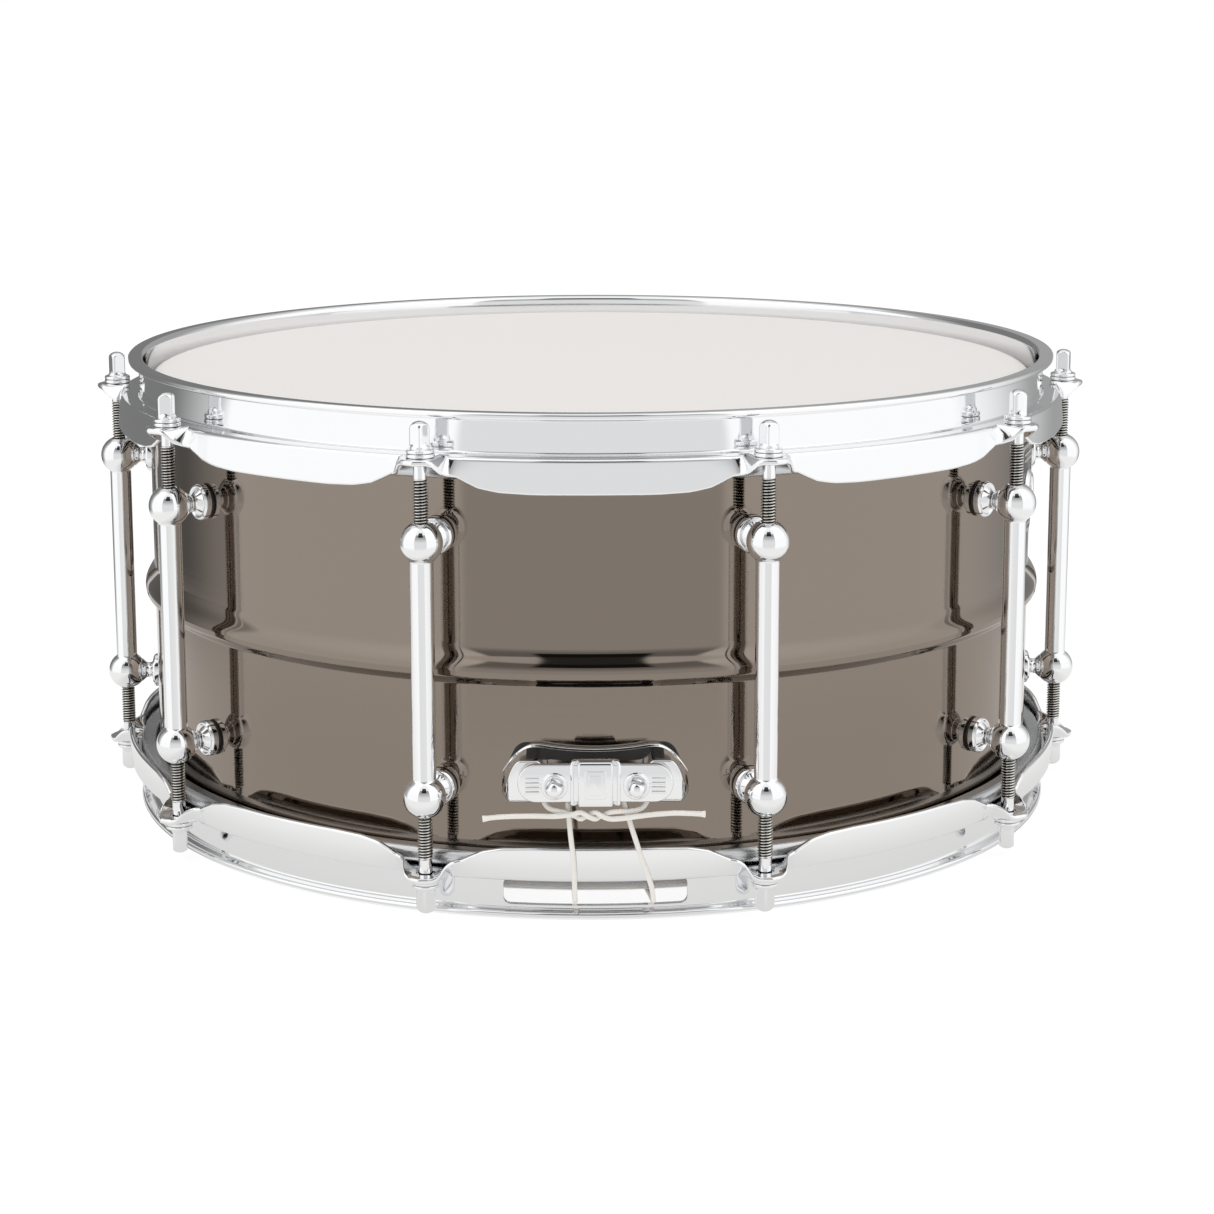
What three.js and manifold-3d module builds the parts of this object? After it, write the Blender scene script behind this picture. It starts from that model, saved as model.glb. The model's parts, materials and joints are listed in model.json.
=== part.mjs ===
// A 14 by 6.5 inch metal-shell snare drum with ten tube lugs, triple-flanged hoops, a cord butt at the
// front (-Y) and a throw-off strainer at the back (+Y).
// Millimetres, +Z up. The origin is on the drum's axis, on the surface that it stands on.
// An azimuth is measured from the front (-Y) towards +X.
import * as THREE from "three";
import { mergeVertices } from "three/addons/utils/BufferGeometryUtils.js";
import Module from "manifold-3d";

const wasm = await Module();
wasm.setup();

// ---- driving dimensions ----
const HEIGHT = 180; // from rim to rim
const MID = HEIGHT / 2;
const GAP = 0.3; // between pieces that touch
const SIDES = 48; // sides of the shell and the heads

const SHELL_R = 177.8;
const SHELL_WALL = 1.3;
const SHELL_DEPTH = 165.1;
const SHELL_TOP = MID + SHELL_DEPTH / 2;
const EDGE_R = 174.3; // where a head bears on the shell
const BEAD_R = 181.6;
const BEAD_HALF = 7.5;
const BEAD_CREST_HALF = 3.2;

const FILM = 0.3; // a head's thickness
const COLLAR_R = 178.25; // inside of the head's collar
const FLESH_IN = 179;
const FLESH_OUT = 185.4;
const FLESH_DEPTH = 6.2;

const SHEET = 2.2; // the hoops' steel
const WALL_R = 181.6; // outside of a hoop's upright wall
const RIM_R = 185.7;
const RIM_EDGE = 2.6; // height of the rim's outer edge
const SHOULDER = 165; // top of a hoop's shoulder, and of its ears
const EAR_ROOT_R = 186.6;
const SKIRT_OUT = 2.6; // how much further out the bend lies between two ears
const HOLE_R = 3.3;
// The flange by the distance along the rim from the middle of an ear: [distance, degrees that it is bent
// down, length from its bend to its edge].
const FLANGE = [
  [0, 0, 14.2],
  [3, 0, 13.2],
  [4.5, 0, 12.3],
  [6, 4, 11.2],
  [7.2, 16, 9.6],
  [8.4, 40, 7.6],
  [9.8, 62, 7],
  [12, 75, 7.1],
  [16, 81, 9],
  [20, 83.5, 10.8],
  [27, 85, 12.1],
  [38, 85.5, 12.6],
  [61, 86, 12.6],
];
const FLANGE_STATIONS = [0, 4.5, 7.2, 9.8, 14, 21, 38]; // distances at which a hoop has a section

const LUGS = 10;
const FIRST_LUG = 18; // degrees
const ROD_R = 192.7; // radius of the circle through the rods and the lug tubes
const TUBE_R = 4.1;
const BORE_R = 2.9;
const BALL_R = 7.6;
const BALL_UP = 45.3; // of a ball's centre from the middle of the drum
const POST_FLANGE_R = 6.7;
const POST_WAIST_R = 3.1;

const SHANK_R = 2.6;
const ROD_COLLAR_R = 5.1;
const ROD_COLLAR = 3.1; // collar and washer together
const ROD_HEAD_TOP = 177.6;
const KEY_HEAD_R = 3.8; // from a square head's axis to its corners
const ROD_REACH = 124; // how far down a top rod goes

const SLOT_HALF = 32.5; // of the snare gates in the bottom hoop
const SLOT_LOW = 4.1;
const SLOT_HIGH = 13.9;

const STRAND_R = 0.9;
const STRANDS = 20;
const STRAND_PITCH = 2.2;
const STRAND_Z = 5.6;
const STRAND_HALF = 152; // half the length of the wires
const LIP_END = 161;
const LIP_LOW = 3.3;
const LIP = 0.6;
const PLATE_LOW = 4.1; // of the snares' end plates, which hang the lip below them
const PLATE = 0.8;
const CORD_R = 0.95;

// The clamps at both ends reach as far out as each other.
const CLAMP_FACE = 189; // of the casting that the cord is pressed against
const CLAMP_IN = 191.5;
const CLAMP_OUT = 194;
const SCREW_TIP = 201;
const BUTT_Z = 52;
const BUTT_LOW = BUTT_Z - 7.8;
const BUTT_HIGH = BUTT_Z + 7;
const BUTT_BASE_HIGH = BUTT_Z + 10.4; // of its base on the shell
const BUTT_BASE_OUT = 183.5;
const BUTT_MOUNT_X = 22;
const CLAMP_LOW = BUTT_Z - 6.3;
const CLAMP_HIGH = BUTT_Z + 7.2;
const CLAMP_BLOCK_HALF = 8.7; // of the butt clamp's middle block
const CLAMP_SCREW_Z = 51.5;
const CLAMP_HEAD_R = 3.5; // from a clamp screw's axis to its head's corners
const BUTT_SCREW_X = 14.2;
const STRAINER_SCREW_X = 9;

const PLATE_IN = 182.3; // back of the strainer's plate, clear of the shell's bead
const PLATE_OUT = 185.3;
const SLIDE_IN = 185.7;
const RAIL_X = 12.2;
const RAIL_OUT_X = 15.5;
const SLIDE_X = 11.8;
const PIVOT_Y = 191;
const PIVOT_Z = 99;
const PIN_R = 2;
const BARREL_R = 5.6;
const KNOB_Y = 193.3;
const KNOB_R = 7.4;
const KNOB_LOW = 66.6;
const KNOB_HIGH = 72.4;
const SPINDLE_LOW = 61;
const SPINDLE_R = 2.2;
const NOSE_OUT = 197.5;
const MOUNT_SCREW_R = 2.2;
const STRAINER_MOUNTS = [54, 104];

const BADGE_AZIMUTH = 72;
const BADGE_Z = 130;
const BADGE_HALF_WIDTH = 12;
const BADGE_HALF_HEIGHT = 18;
const BADGE = 0.7; // thickness
const VENT_R = 4.2;

// ---- materials ----
const finish = (color, roughness, metalness) =>
  new THREE.MeshStandardMaterial({ color, roughness, metalness });
const chrome = finish(0xd9dbde, 0.06, 1);
const blackNickel = finish(0x4d4742, 0.08, 1);
const film = finish(0xebe9e5, 0.7, 0);
const clearFilm = finish(0xdedfdd, 0.35, 0);
const aluminium = finish(0xb9bbbd, 0.3, 1);
const steel = finish(0xa8a9ab, 0.25, 1);
const cordWhite = finish(0xf0ebe2, 0.85, 0);
const badgeMetal = finish(0xc9c4b8, 0.3, 1);

// ---- helpers ----
const drum = new THREE.Group();
const rad = THREE.MathUtils.degToRad;

function add(name, geometry, material) {
  const mesh = new THREE.Mesh(geometry, material);
  mesh.name = name;
  drum.add(mesh);
  return mesh;
}

// A closed geometry as a solid, for cutting and joining.
function solid(geometry) {
  const bare = new THREE.BufferGeometry();
  bare.setAttribute("position", geometry.getAttribute("position"));
  bare.setIndex(geometry.getIndex());
  const merged = mergeVertices(bare, 1e-4);
  return new wasm.Manifold(
    new wasm.Mesh({
      numProp: 3,
      vertProperties: new Float32Array(merged.attributes.position.array),
      triVerts: new Uint32Array(merged.index.array),
    }),
  );
}

function geometryOf(made) {
  const mesh = made.getMesh();
  const geometry = new THREE.BufferGeometry();
  geometry.setAttribute("position", new THREE.BufferAttribute(mesh.vertProperties, 3));
  geometry.setIndex(new THREE.BufferAttribute(mesh.triVerts, 1));
  return geometry;
}

const join = (...geometries) =>
  geometryOf(geometries.map(solid).reduce((a, b) => a.add(b)));
const cut = (geometry, ...tools) =>
  geometryOf(tools.map(solid).reduce((a, b) => a.subtract(b), solid(geometry)));

// Twice the signed area of a closed outline of [x, y] points.
const turn = (outline) =>
  outline.reduce((sum, [x, y], i) => {
    const [u, v] = outline[(i + 1) % outline.length];
    return sum + x * v - u * y;
  }, 0);

// A profile of [radius, height] points turned about +Z. One that touches the axis starts and ends on it.
function revolve(profile, sides, sectorOffset = 0) {
  const outline = turn(profile) < 0 ? [...profile].reverse() : profile;
  const onAxis = outline.some(([r]) => r === 0);
  const points = (onAxis ? outline : [...outline, outline[0]]).map(
    ([r, z]) => new THREE.Vector2(r, z),
  );
  return new THREE.LatheGeometry(points, sides, sectorOffset).rotateX(Math.PI / 2);
}

const rod = (r, low, high, sides = 8) =>
  revolve([[0, low], [r, low], [r, high], [0, high]], sides);

// Turns a shape made along +Z so that it lies along +Y, with its +X kept.
const alongY = (geometry) => geometry.rotateX(-Math.PI / 2);

// Turns a shape made for the front, along -Y, to an azimuth.
const toAzimuth = (geometry, degrees) => geometry.rotateZ(rad(degrees));

function block(x0, x1, y0, y1, z0, z1) {
  return new THREE.BoxGeometry(x1 - x0, y1 - y0, z1 - z0).translate(
    (x0 + x1) / 2,
    (y0 + y1) / 2,
    (z0 + z1) / 2,
  );
}

// An outline drawn in X and Z, made solid from y0 to y1.
function plate(shape, y0, y1, curveSegments = 3) {
  const options = { depth: y1 - y0, bevelEnabled: false, curveSegments };
  return new THREE.ExtrudeGeometry(shape, options).rotateX(Math.PI / 2).translate(0, y1, 0);
}

function roundedOutline(x0, x1, z0, z1, r) {
  const shape = new THREE.Shape();
  shape.moveTo(x0 + r, z0);
  shape.lineTo(x1 - r, z0);
  shape.absarc(x1 - r, z0 + r, r, -Math.PI / 2, 0);
  shape.lineTo(x1, z1 - r);
  shape.absarc(x1 - r, z1 - r, r, 0, Math.PI / 2);
  shape.lineTo(x0 + r, z1);
  shape.absarc(x0 + r, z1 - r, r, Math.PI / 2, Math.PI);
  shape.lineTo(x0, z0 + r);
  shape.absarc(x0 + r, z0 + r, r, Math.PI, 1.5 * Math.PI);
  return shape;
}

// Closed sections of [radius, height] points at rising azimuths, joined into one ring.
function ring(azimuths, sectionAt) {
  const sections = azimuths.map((a) => {
    const outline = sectionAt(a);
    return turn(outline) < 0 ? outline.reverse() : outline;
  });
  const count = sections[0].length;
  const positions = sections.flatMap((outline, i) =>
    outline.flatMap(([r, z]) => [
      r * Math.sin(rad(azimuths[i])),
      -r * Math.cos(rad(azimuths[i])),
      z,
    ]),
  );
  const index = [];
  for (let i = 0; i < azimuths.length; i++) {
    const next = (i + 1) % azimuths.length;
    for (let k = 0; k < count; k++) {
      const [a, b] = [i * count + k, i * count + ((k + 1) % count)];
      const [c, d] = [next * count + k, next * count + ((k + 1) % count)];
      index.push(a, c, b, b, c, d);
    }
  }
  const geometry = new THREE.BufferGeometry();
  geometry.setAttribute("position", new THREE.Float32BufferAttribute(positions, 3));
  geometry.setIndex(index);
  return geometry;
}

// The same height counted from the other rim.
const flip = (z) => HEIGHT - z;
const flipAll = (profile) => profile.map(([r, z]) => [r, flip(z)]);

// ---- shell ----
const mountBore = (z, azimuth) =>
  toAzimuth(alongY(rod(3, -SHELL_R - 5, -SHELL_R + 8)).translate(0, 0, z), azimuth);
const ventBore = (r) =>
  toAzimuth(alongY(rod(r, -SHELL_R - 6, -SHELL_R + 8, 12)).translate(0, 0, BADGE_Z), BADGE_AZIMUTH);

function shell() {
  const lip = 3.6; // how far the bearing edge turns in
  const inner = SHELL_R - SHELL_WALL;
  const half = [
    [SHELL_R, MID],
    [SHELL_R, SHELL_TOP - lip],
    [EDGE_R, SHELL_TOP],
    [EDGE_R - 1.8, SHELL_TOP - 0.9],
    [inner, SHELL_TOP - lip - 0.7],
    [inner, MID],
  ];
  const [, ...upper] = half.slice(0, 5);
  const bead = [
    [SHELL_R, MID - BEAD_HALF],
    [BEAD_R, MID - BEAD_CREST_HALF],
    [BEAD_R, MID + BEAD_CREST_HALF],
    [SHELL_R, MID + BEAD_HALF],
  ];
  const inside = bead.map(([r, z]) => [r - SHELL_WALL, z]).reverse();
  const lower = flipAll(upper).reverse();
  const body = revolve([...bead, ...upper, ...inside, ...lower], SIDES);
  const bores = [
    ...STRAINER_MOUNTS.map((z) => mountBore(z, 180)),
    ...[-1, 1].map((side) => mountBore(BUTT_Z, (side * BUTT_MOUNT_X * 180) / (Math.PI * SHELL_R))),
    ventBore(5.6),
  ];
  return cut(body, ...bores);
}

// ---- heads ----
function filmProfile() {
  const under = SHELL_TOP + GAP;
  const end = SHOULDER - SHEET + GAP;
  const bend = under - 4.2;
  return [
    [0, under],
    [EDGE_R - 0.1, under],
    [COLLAR_R, bend],
    [COLLAR_R, end],
    [COLLAR_R + FILM, end],
    [COLLAR_R + FILM, bend + 0.2],
    [EDGE_R, under + FILM],
    [0, under + FILM],
  ];
}

function fleshProfile() {
  const top = SHOULDER - SHEET - GAP;
  const low = top - FLESH_DEPTH;
  return [[FLESH_IN, low], [FLESH_OUT, low], [FLESH_OUT, top], [FLESH_IN, top]];
}

// ---- hoops ----
// The flange's bend, in radians, and its length at a distance along the rim from the middle of an ear.
function flangeAt(distance) {
  const i = Math.max(1, FLANGE.findIndex(([d]) => d >= distance));
  const [before, after] = [FLANGE[i - 1], FLANGE[i]];
  const t = (distance - before[0]) / (after[0] - before[0]);
  const [, bend, length] = before.map((value, k) => value + t * (after[k] - value));
  return [rad(bend), length];
}

function hoopSection(azimuth) {
  const spacing = 360 / LUGS;
  const off = ((((azimuth - FIRST_LUG) % spacing) + 1.5 * spacing) % spacing) - spacing / 2;
  const [bend, length] = flangeAt(rad(Math.abs(off)) * ROD_R);
  const root = EAR_ROOT_R + SKIRT_OUT * Math.sin(bend);
  const [tipR, tipZ] = [root + length * Math.cos(bend), SHOULDER - length * Math.sin(bend)];
  return [
    [WALL_R - SHEET, HEIGHT],
    [RIM_R, HEIGHT],
    [RIM_R, HEIGHT - RIM_EDGE],
    [WALL_R, HEIGHT - RIM_EDGE - 0.4],
    [WALL_R, SHOULDER + 1],
    [root, SHOULDER],
    [tipR, tipZ],
    [tipR - SHEET * Math.sin(bend), tipZ - SHEET * Math.cos(bend)],
    [root - SHEET * Math.tan(bend / 2), SHOULDER - SHEET],
    [WALL_R - SHEET, SHOULDER - SHEET],
  ];
}

// Stations round a hoop, closer together at the ears, where the flange bends.
function hoopAzimuths() {
  const steps = FLANGE_STATIONS.map((mm) => THREE.MathUtils.radToDeg(mm / ROD_R));
  const half = 180 / LUGS;
  const one = [...steps.slice(1).map((s) => -s).reverse(), ...steps, half];
  return Array.from({ length: LUGS }, (_, i) =>
    one.map((s) => FIRST_LUG + (i * 360) / LUGS + s),
  ).flat();
}

const lugAzimuths = Array.from({ length: LUGS }, (_, i) => FIRST_LUG + (i * 360) / LUGS);

function hoop(isBottom) {
  const place = isBottom ? flipAll : (profile) => profile;
  const body = ring(hoopAzimuths(), (a) => place(hoopSection(a)));
  const ear = isBottom ? flip(SHOULDER) : SHOULDER;
  const holes = lugAzimuths.map((a) =>
    toAzimuth(rod(HOLE_R, ear - 6, ear + 6).translate(0, -ROD_R, 0), a),
  );
  const gates = [0, 180].map((a) =>
    toAzimuth(
      plate(roundedOutline(-SLOT_HALF, SLOT_HALF, SLOT_LOW, SLOT_HIGH, 2.5), -184.5, -174),
      a,
    ),
  );
  return cut(body, ...holes, ...(isBottom ? gates : []));
}

// ---- lugs and tension rods ----
// A tube through two balls, each on a post whose flange sits on the shell.
function lug(azimuth) {
  const ballPoint = (degrees) => [
    BALL_R * Math.sin(rad(degrees)),
    BALL_UP + BALL_R * Math.cos(rad(degrees)),
  ];
  const mouth = THREE.MathUtils.radToDeg(Math.asin(BORE_R / BALL_R));
  const neck = 180 - THREE.MathUtils.radToDeg(Math.asin(TUBE_R / BALL_R));
  const upper = [neck, 112, 67, mouth].map(ballPoint);
  const lower = upper.map(([r, z]) => [r, -z]).reverse();
  const barrel = revolve([...lower, ...upper], 8).translate(0, 0, MID);
  const reach = ROD_R - SHELL_R - GAP;
  const profile = [
    [0, reach],
    [POST_FLANGE_R, reach],
    [POST_FLANGE_R, reach - 2.2],
    [POST_WAIST_R, reach - 4],
    [4.7, BALL_R - 1.8],
    [0, BALL_R - 3.2],
  ];
  const posts = [-1, 1].map((side) =>
    alongY(revolve(profile, 8)).translate(0, 0, MID + side * BALL_UP),
  );
  return toAzimuth(join(barrel, ...posts).translate(0, -ROD_R, 0), azimuth);
}

// A threaded rod with a square key head, and its collar and washer as one disc.
function tensionRod(azimuth, isBottom) {
  const collarLow = SHOULDER + GAP;
  const collarHigh = collarLow + ROD_COLLAR;
  const place = isBottom ? flipAll : (profile) => profile;
  const shank = revolve(
    place([
      [0, ROD_REACH],
      [SHANK_R, ROD_REACH],
      [SHANK_R, collarLow],
      [ROD_COLLAR_R, collarLow],
      [ROD_COLLAR_R, collarHigh],
      [0, collarHigh],
    ]),
    8,
  );
  const head = revolve(
    place([
      [0, collarHigh - 0.5],
      [KEY_HEAD_R, collarHigh - 0.5],
      [KEY_HEAD_R, ROD_HEAD_TOP - 1.6],
      [2.4, ROD_HEAD_TOP],
      [0, ROD_HEAD_TOP],
    ]),
    4,
    Math.PI / 4,
  );
  return toAzimuth(join(shank, head).translate(0, -ROD_R, 0), azimuth);
}

// ---- badge and vent ----
function badge() {
  const [back, face] = [SHELL_R + GAP, SHELL_R + GAP + BADGE];
  const [low, high] = [BADGE_Z - BADGE_HALF_HEIGHT, BADGE_Z + BADGE_HALF_HEIGHT];
  const skin = revolve(
    [[back, low - 5], [face, low - 5], [face, high + 5], [back, high + 5]],
    SIDES,
  );
  const outline = roundedOutline(-BADGE_HALF_WIDTH, BADGE_HALF_WIDTH, low, high, 5);
  const cutter = toAzimuth(plate(outline, -190, -160), BADGE_AZIMUTH);
  const disc = solid(skin).intersect(solid(cutter));
  return geometryOf(disc.subtract(solid(ventBore(5.6))));
}

function grommet() {
  const face = SHELL_R + GAP + BADGE + GAP;
  const profile = [
    [VENT_R, face + 1.6],
    [7.8, face + 0.9],
    [7.8, face],
    [5.2, face],
    [5.2, SHELL_R - SHELL_WALL - 1.5],
    [VENT_R, SHELL_R - SHELL_WALL - 1.5],
  ];
  // The profile's heights are radii of the drum, so it is turned to point out at the front.
  const made = revolve(profile, 12).rotateX(Math.PI / 2);
  return toAzimuth(made.translate(0, 0, BADGE_Z), BADGE_AZIMUTH);
}

// ---- clamps ----
// The front clamp is drawn along +Y, as the strainer is, and then turned to the front.
const toFront = (geometry) => geometry.rotateZ(Math.PI);

function clampScrew(x) {
  const profile = [
    [0, CLAMP_FACE - 3],
    [1.9, CLAMP_FACE - 3],
    [1.9, CLAMP_OUT + GAP],
    [4.4, CLAMP_OUT + GAP],
    [4.4, CLAMP_OUT + GAP + 1.3],
    [0, CLAMP_OUT + GAP + 1.3],
  ];
  const head = [
    [0, CLAMP_OUT + 1],
    [CLAMP_HEAD_R, CLAMP_OUT + 1],
    [CLAMP_HEAD_R, SCREW_TIP - 1.4],
    [2.2, SCREW_TIP],
    [0, SCREW_TIP],
  ];
  const made = join(revolve(profile, 8), revolve(head, 4, Math.PI / 4));
  return alongY(made).translate(x, 0, CLAMP_SCREW_Z);
}

const screwBore = (x, z, r, y0, y1) => alongY(rod(r, y0, y1)).translate(x, 0, z);

function mountScrew(x, z, tip) {
  const headR = 4.2;
  // The shell's flat sides lie nearer the axis than its corners.
  const wall = (SHELL_R - SHELL_WALL) * Math.cos(Math.PI / SIDES);
  const inner = Math.sqrt(wall ** 2 - (Math.abs(x) + headR) ** 2) - GAP;
  const profile = [
    [0, inner - 3.4],
    [headR, inner - 3.4],
    [headR, inner],
    [MOUNT_SCREW_R, inner],
    [MOUNT_SCREW_R, tip],
    [0, tip],
  ];
  return alongY(revolve(profile, 8)).translate(x, 0, z);
}

// A base that sits on the shell, and a lower part in front of it that the cord is clamped against.
function buttPlate() {
  const outline = (halfLow, halfHigh, high, r) => {
    const shape = new THREE.Shape();
    shape.moveTo(-halfLow + 4, BUTT_LOW);
    shape.lineTo(halfLow - 4, BUTT_LOW);
    shape.absarc(halfLow - 4, BUTT_LOW + 4, 4, -Math.PI / 2, 0);
    shape.absarc(halfHigh - r, high - r, r, 0, Math.PI / 2);
    shape.lineTo(-halfHigh + r, high);
    shape.absarc(-halfHigh + r, high - r, r, Math.PI / 2, Math.PI);
    shape.absarc(-halfLow + 4, BUTT_LOW + 4, 4, Math.PI, 1.5 * Math.PI);
    return shape;
  };
  const body = join(
    plate(outline(32.7, 28, BUTT_BASE_HIGH, 5), SHELL_R - 8, BUTT_BASE_OUT),
    plate(outline(31.5, 27.5, BUTT_HIGH, 7), BUTT_BASE_OUT - 0.5, CLAMP_FACE),
  );
  const [under, over] = [BUTT_LOW - 5, BUTT_BASE_HIGH + 5];
  const seat = revolve(
    [[0, under], [SHELL_R + GAP, under], [SHELL_R + GAP, over], [0, over]],
    SIDES,
  );
  const bores = [-1, 1].flatMap((side) => [
    screwBore(side * BUTT_SCREW_X, CLAMP_SCREW_Z, 2.4, CLAMP_FACE - 4.5, CLAMP_FACE + 2),
    screwBore(side * BUTT_MOUNT_X, BUTT_Z, 2.7, SHELL_R - 12, CLAMP_FACE - 4),
  ]);
  return cut(body, seat, ...bores);
}

// A bar with rounded ends, joined with what else is cast on it, and bored for its two screws.
function clampPlate(halfWidth, screwX, ...castOn) {
  const outline = roundedOutline(-halfWidth, halfWidth, CLAMP_LOW, CLAMP_HIGH, 6.6);
  const bores = [-1, 1].map((side) =>
    screwBore(side * screwX, CLAMP_SCREW_Z, 2.4, CLAMP_IN - 2, CLAMP_OUT + 4),
  );
  return cut(join(plate(outline, CLAMP_IN, CLAMP_OUT), ...castOn), ...bores);
}

const clampBlock = () =>
  block(
    -CLAMP_BLOCK_HALF,
    CLAMP_BLOCK_HALF,
    CLAMP_IN + 0.2,
    CLAMP_OUT + 2,
    CLAMP_LOW - 1.1,
    CLAMP_HIGH + 1.4,
  );

// ---- snare wires and their cords ----
// Two end plates with a lowered lip, and the wires soldered between them.
function snareWires() {
  const half = ((STRANDS - 1) * STRAND_PITCH) / 2 + 1.2;
  const plateHigh = PLATE_LOW + PLATE;
  const endBlock = (side, y0, y1, z0, z1) =>
    block(-half, half, Math.min(side * y0, side * y1), Math.max(side * y0, side * y1), z0, z1);
  const ends = [-1, 1].flatMap((side) => [
    endBlock(side, STRAND_HALF - 9, STRAND_HALF + 0.5, PLATE_LOW, plateHigh),
    endBlock(side, STRAND_HALF - 0.3, STRAND_HALF + 0.5, LIP_LOW, plateHigh),
    endBlock(side, STRAND_HALF, LIP_END, LIP_LOW, LIP_LOW + LIP),
  ]);
  const wires = Array.from({ length: STRANDS }, (_, i) => {
    const x = (i - (STRANDS - 1) / 2) * STRAND_PITCH;
    const wire = rod(STRAND_R, -STRAND_HALF, STRAND_HALF, 4);
    return alongY(wire).translate(x, 0, STRAND_Z);
  });
  const slots = [-1, 1].flatMap((side) =>
    [-18, -8, 8, 18].map((x) => {
      const [y0, y1] = [side * (STRAND_HALF + 0.6), side * (LIP_END - 1.7)];
      return block(x - 1.6, x + 1.6, Math.min(y0, y1), Math.max(y0, y1), 2, 4);
    }),
  );
  return cut(join(...ends, ...wires), ...slots);
}

// A cord's route is sampled at its own points, which lie closer together in its bends.
class Route extends THREE.CatmullRomCurve3 {
  getPointAt(t, target) {
    return this.getPoint(t, target);
  }

  getTangentAt(t, target) {
    return this.getTangent(t, target);
  }
}

function cord(points) {
  const route = new Route(points.map((p) => new THREE.Vector3(...p)));
  const section = new THREE.Shape(new THREE.Path().absarc(0, 0, CORD_R, 0, 2 * Math.PI).getPoints(4));
  const steps = points.length - 1;
  return new THREE.ExtrudeGeometry(section, { steps, extrudePath: route, bevelEnabled: false });
}

// From the left tail through the knot to the right screw, down through the gate to the wires' end
// plate, back up round the left screw, and through the knot to the right tail.
const FRONT_CORD = [
  [-39, -192.6, 39.6], [-34, -193, 40.3], [-28, -193.4, 40.7], [-21, -193.9, 40.9], [-14, -194.6, 41],
  [-9, -195, 41.6], [-5, -194.4, 42.2], [-2.5, -195.5, 41.1], [0, -194.4, 40], [2.5, -193.3, 41.1],
  [5, -194.2, 42.2], [8, -193.9, 42.4], [11.2, -193.1, 42.2], [14.2, -192.3, 42.4],
  [16.6, -191.2, 43.3], [18.1, -190.3, 45.8], [18.6, -190.2, 50], [17.4, -190.2, 54.6],
  [13.8, -190.2, 56.2], [10.2, -190.2, 54.6], [9.2, -190.2, 50.4], [9.6, -190.3, 46],
  [10.6, -191.2, 42.4], [12.2, -192.1, 37], [13.8, -192.5, 32], [15.2, -192.5, 27.5],
  [17, -192.1, 22], [18.7, -191.5, 17], [19.7, -190.3, 12.8], [20.2, -187, 8.5], [20.3, -182.5, 6.2],
  [19.8, -176.5, 5.6], [18.8, -170, 5.6], [18, -165, 5.5], [18, -160.5, 5.5], [18, -157.8, 4.3],
  [18, -155.2, 3.1], [18, -152.6, 1.95], [17, -149, 1.8], [14, -146.9, 1.8], [9, -146.4, 1.8],
  [5, -146.2, 1.8], [1, -146.4, 1.8], [-4, -146.9, 1.8], [-7, -149, 1.8], [-8, -152.6, 1.95],
  [-8, -155.2, 3.1], [-8, -157.8, 4.3], [-8, -160.5, 5.5], [-7.8, -165, 5.5], [-7.5, -170, 5.6],
  [-7.3, -176.5, 5.6], [-7.2, -182.5, 6.2], [-7.2, -187, 8.5], [-7.3, -190.3, 12.8],
  [-7.4, -191.5, 17], [-7.6, -192.1, 22], [-8, -192.5, 27.5], [-8.5, -192.5, 32], [-9, -192.1, 37],
  [-9.4, -191.2, 42.4], [-9.6, -190.3, 46], [-9.2, -190.2, 50.4], [-10.2, -190.2, 54.6],
  [-13.8, -190.2, 56.2], [-17.4, -190.2, 54.6], [-18.6, -190.2, 50], [-18.1, -190.3, 45.8],
  [-16.6, -191.2, 43.3], [-14, -192.3, 42.4], [-10, -193, 41.7], [-7, -193.2, 40.6],
  [-5, -193.9, 39.9], [-2.5, -193.3, 41.1], [0, -194.4, 42.2], [2.5, -195.5, 41.1], [5, -194.6, 40],
  [9, -194.9, 40.2], [14, -195, 40.9], [20, -194.6, 41.5], [27, -193.8, 41.7], [33, -193, 41.3],
  [38, -192.6, 40.9],
];

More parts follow.
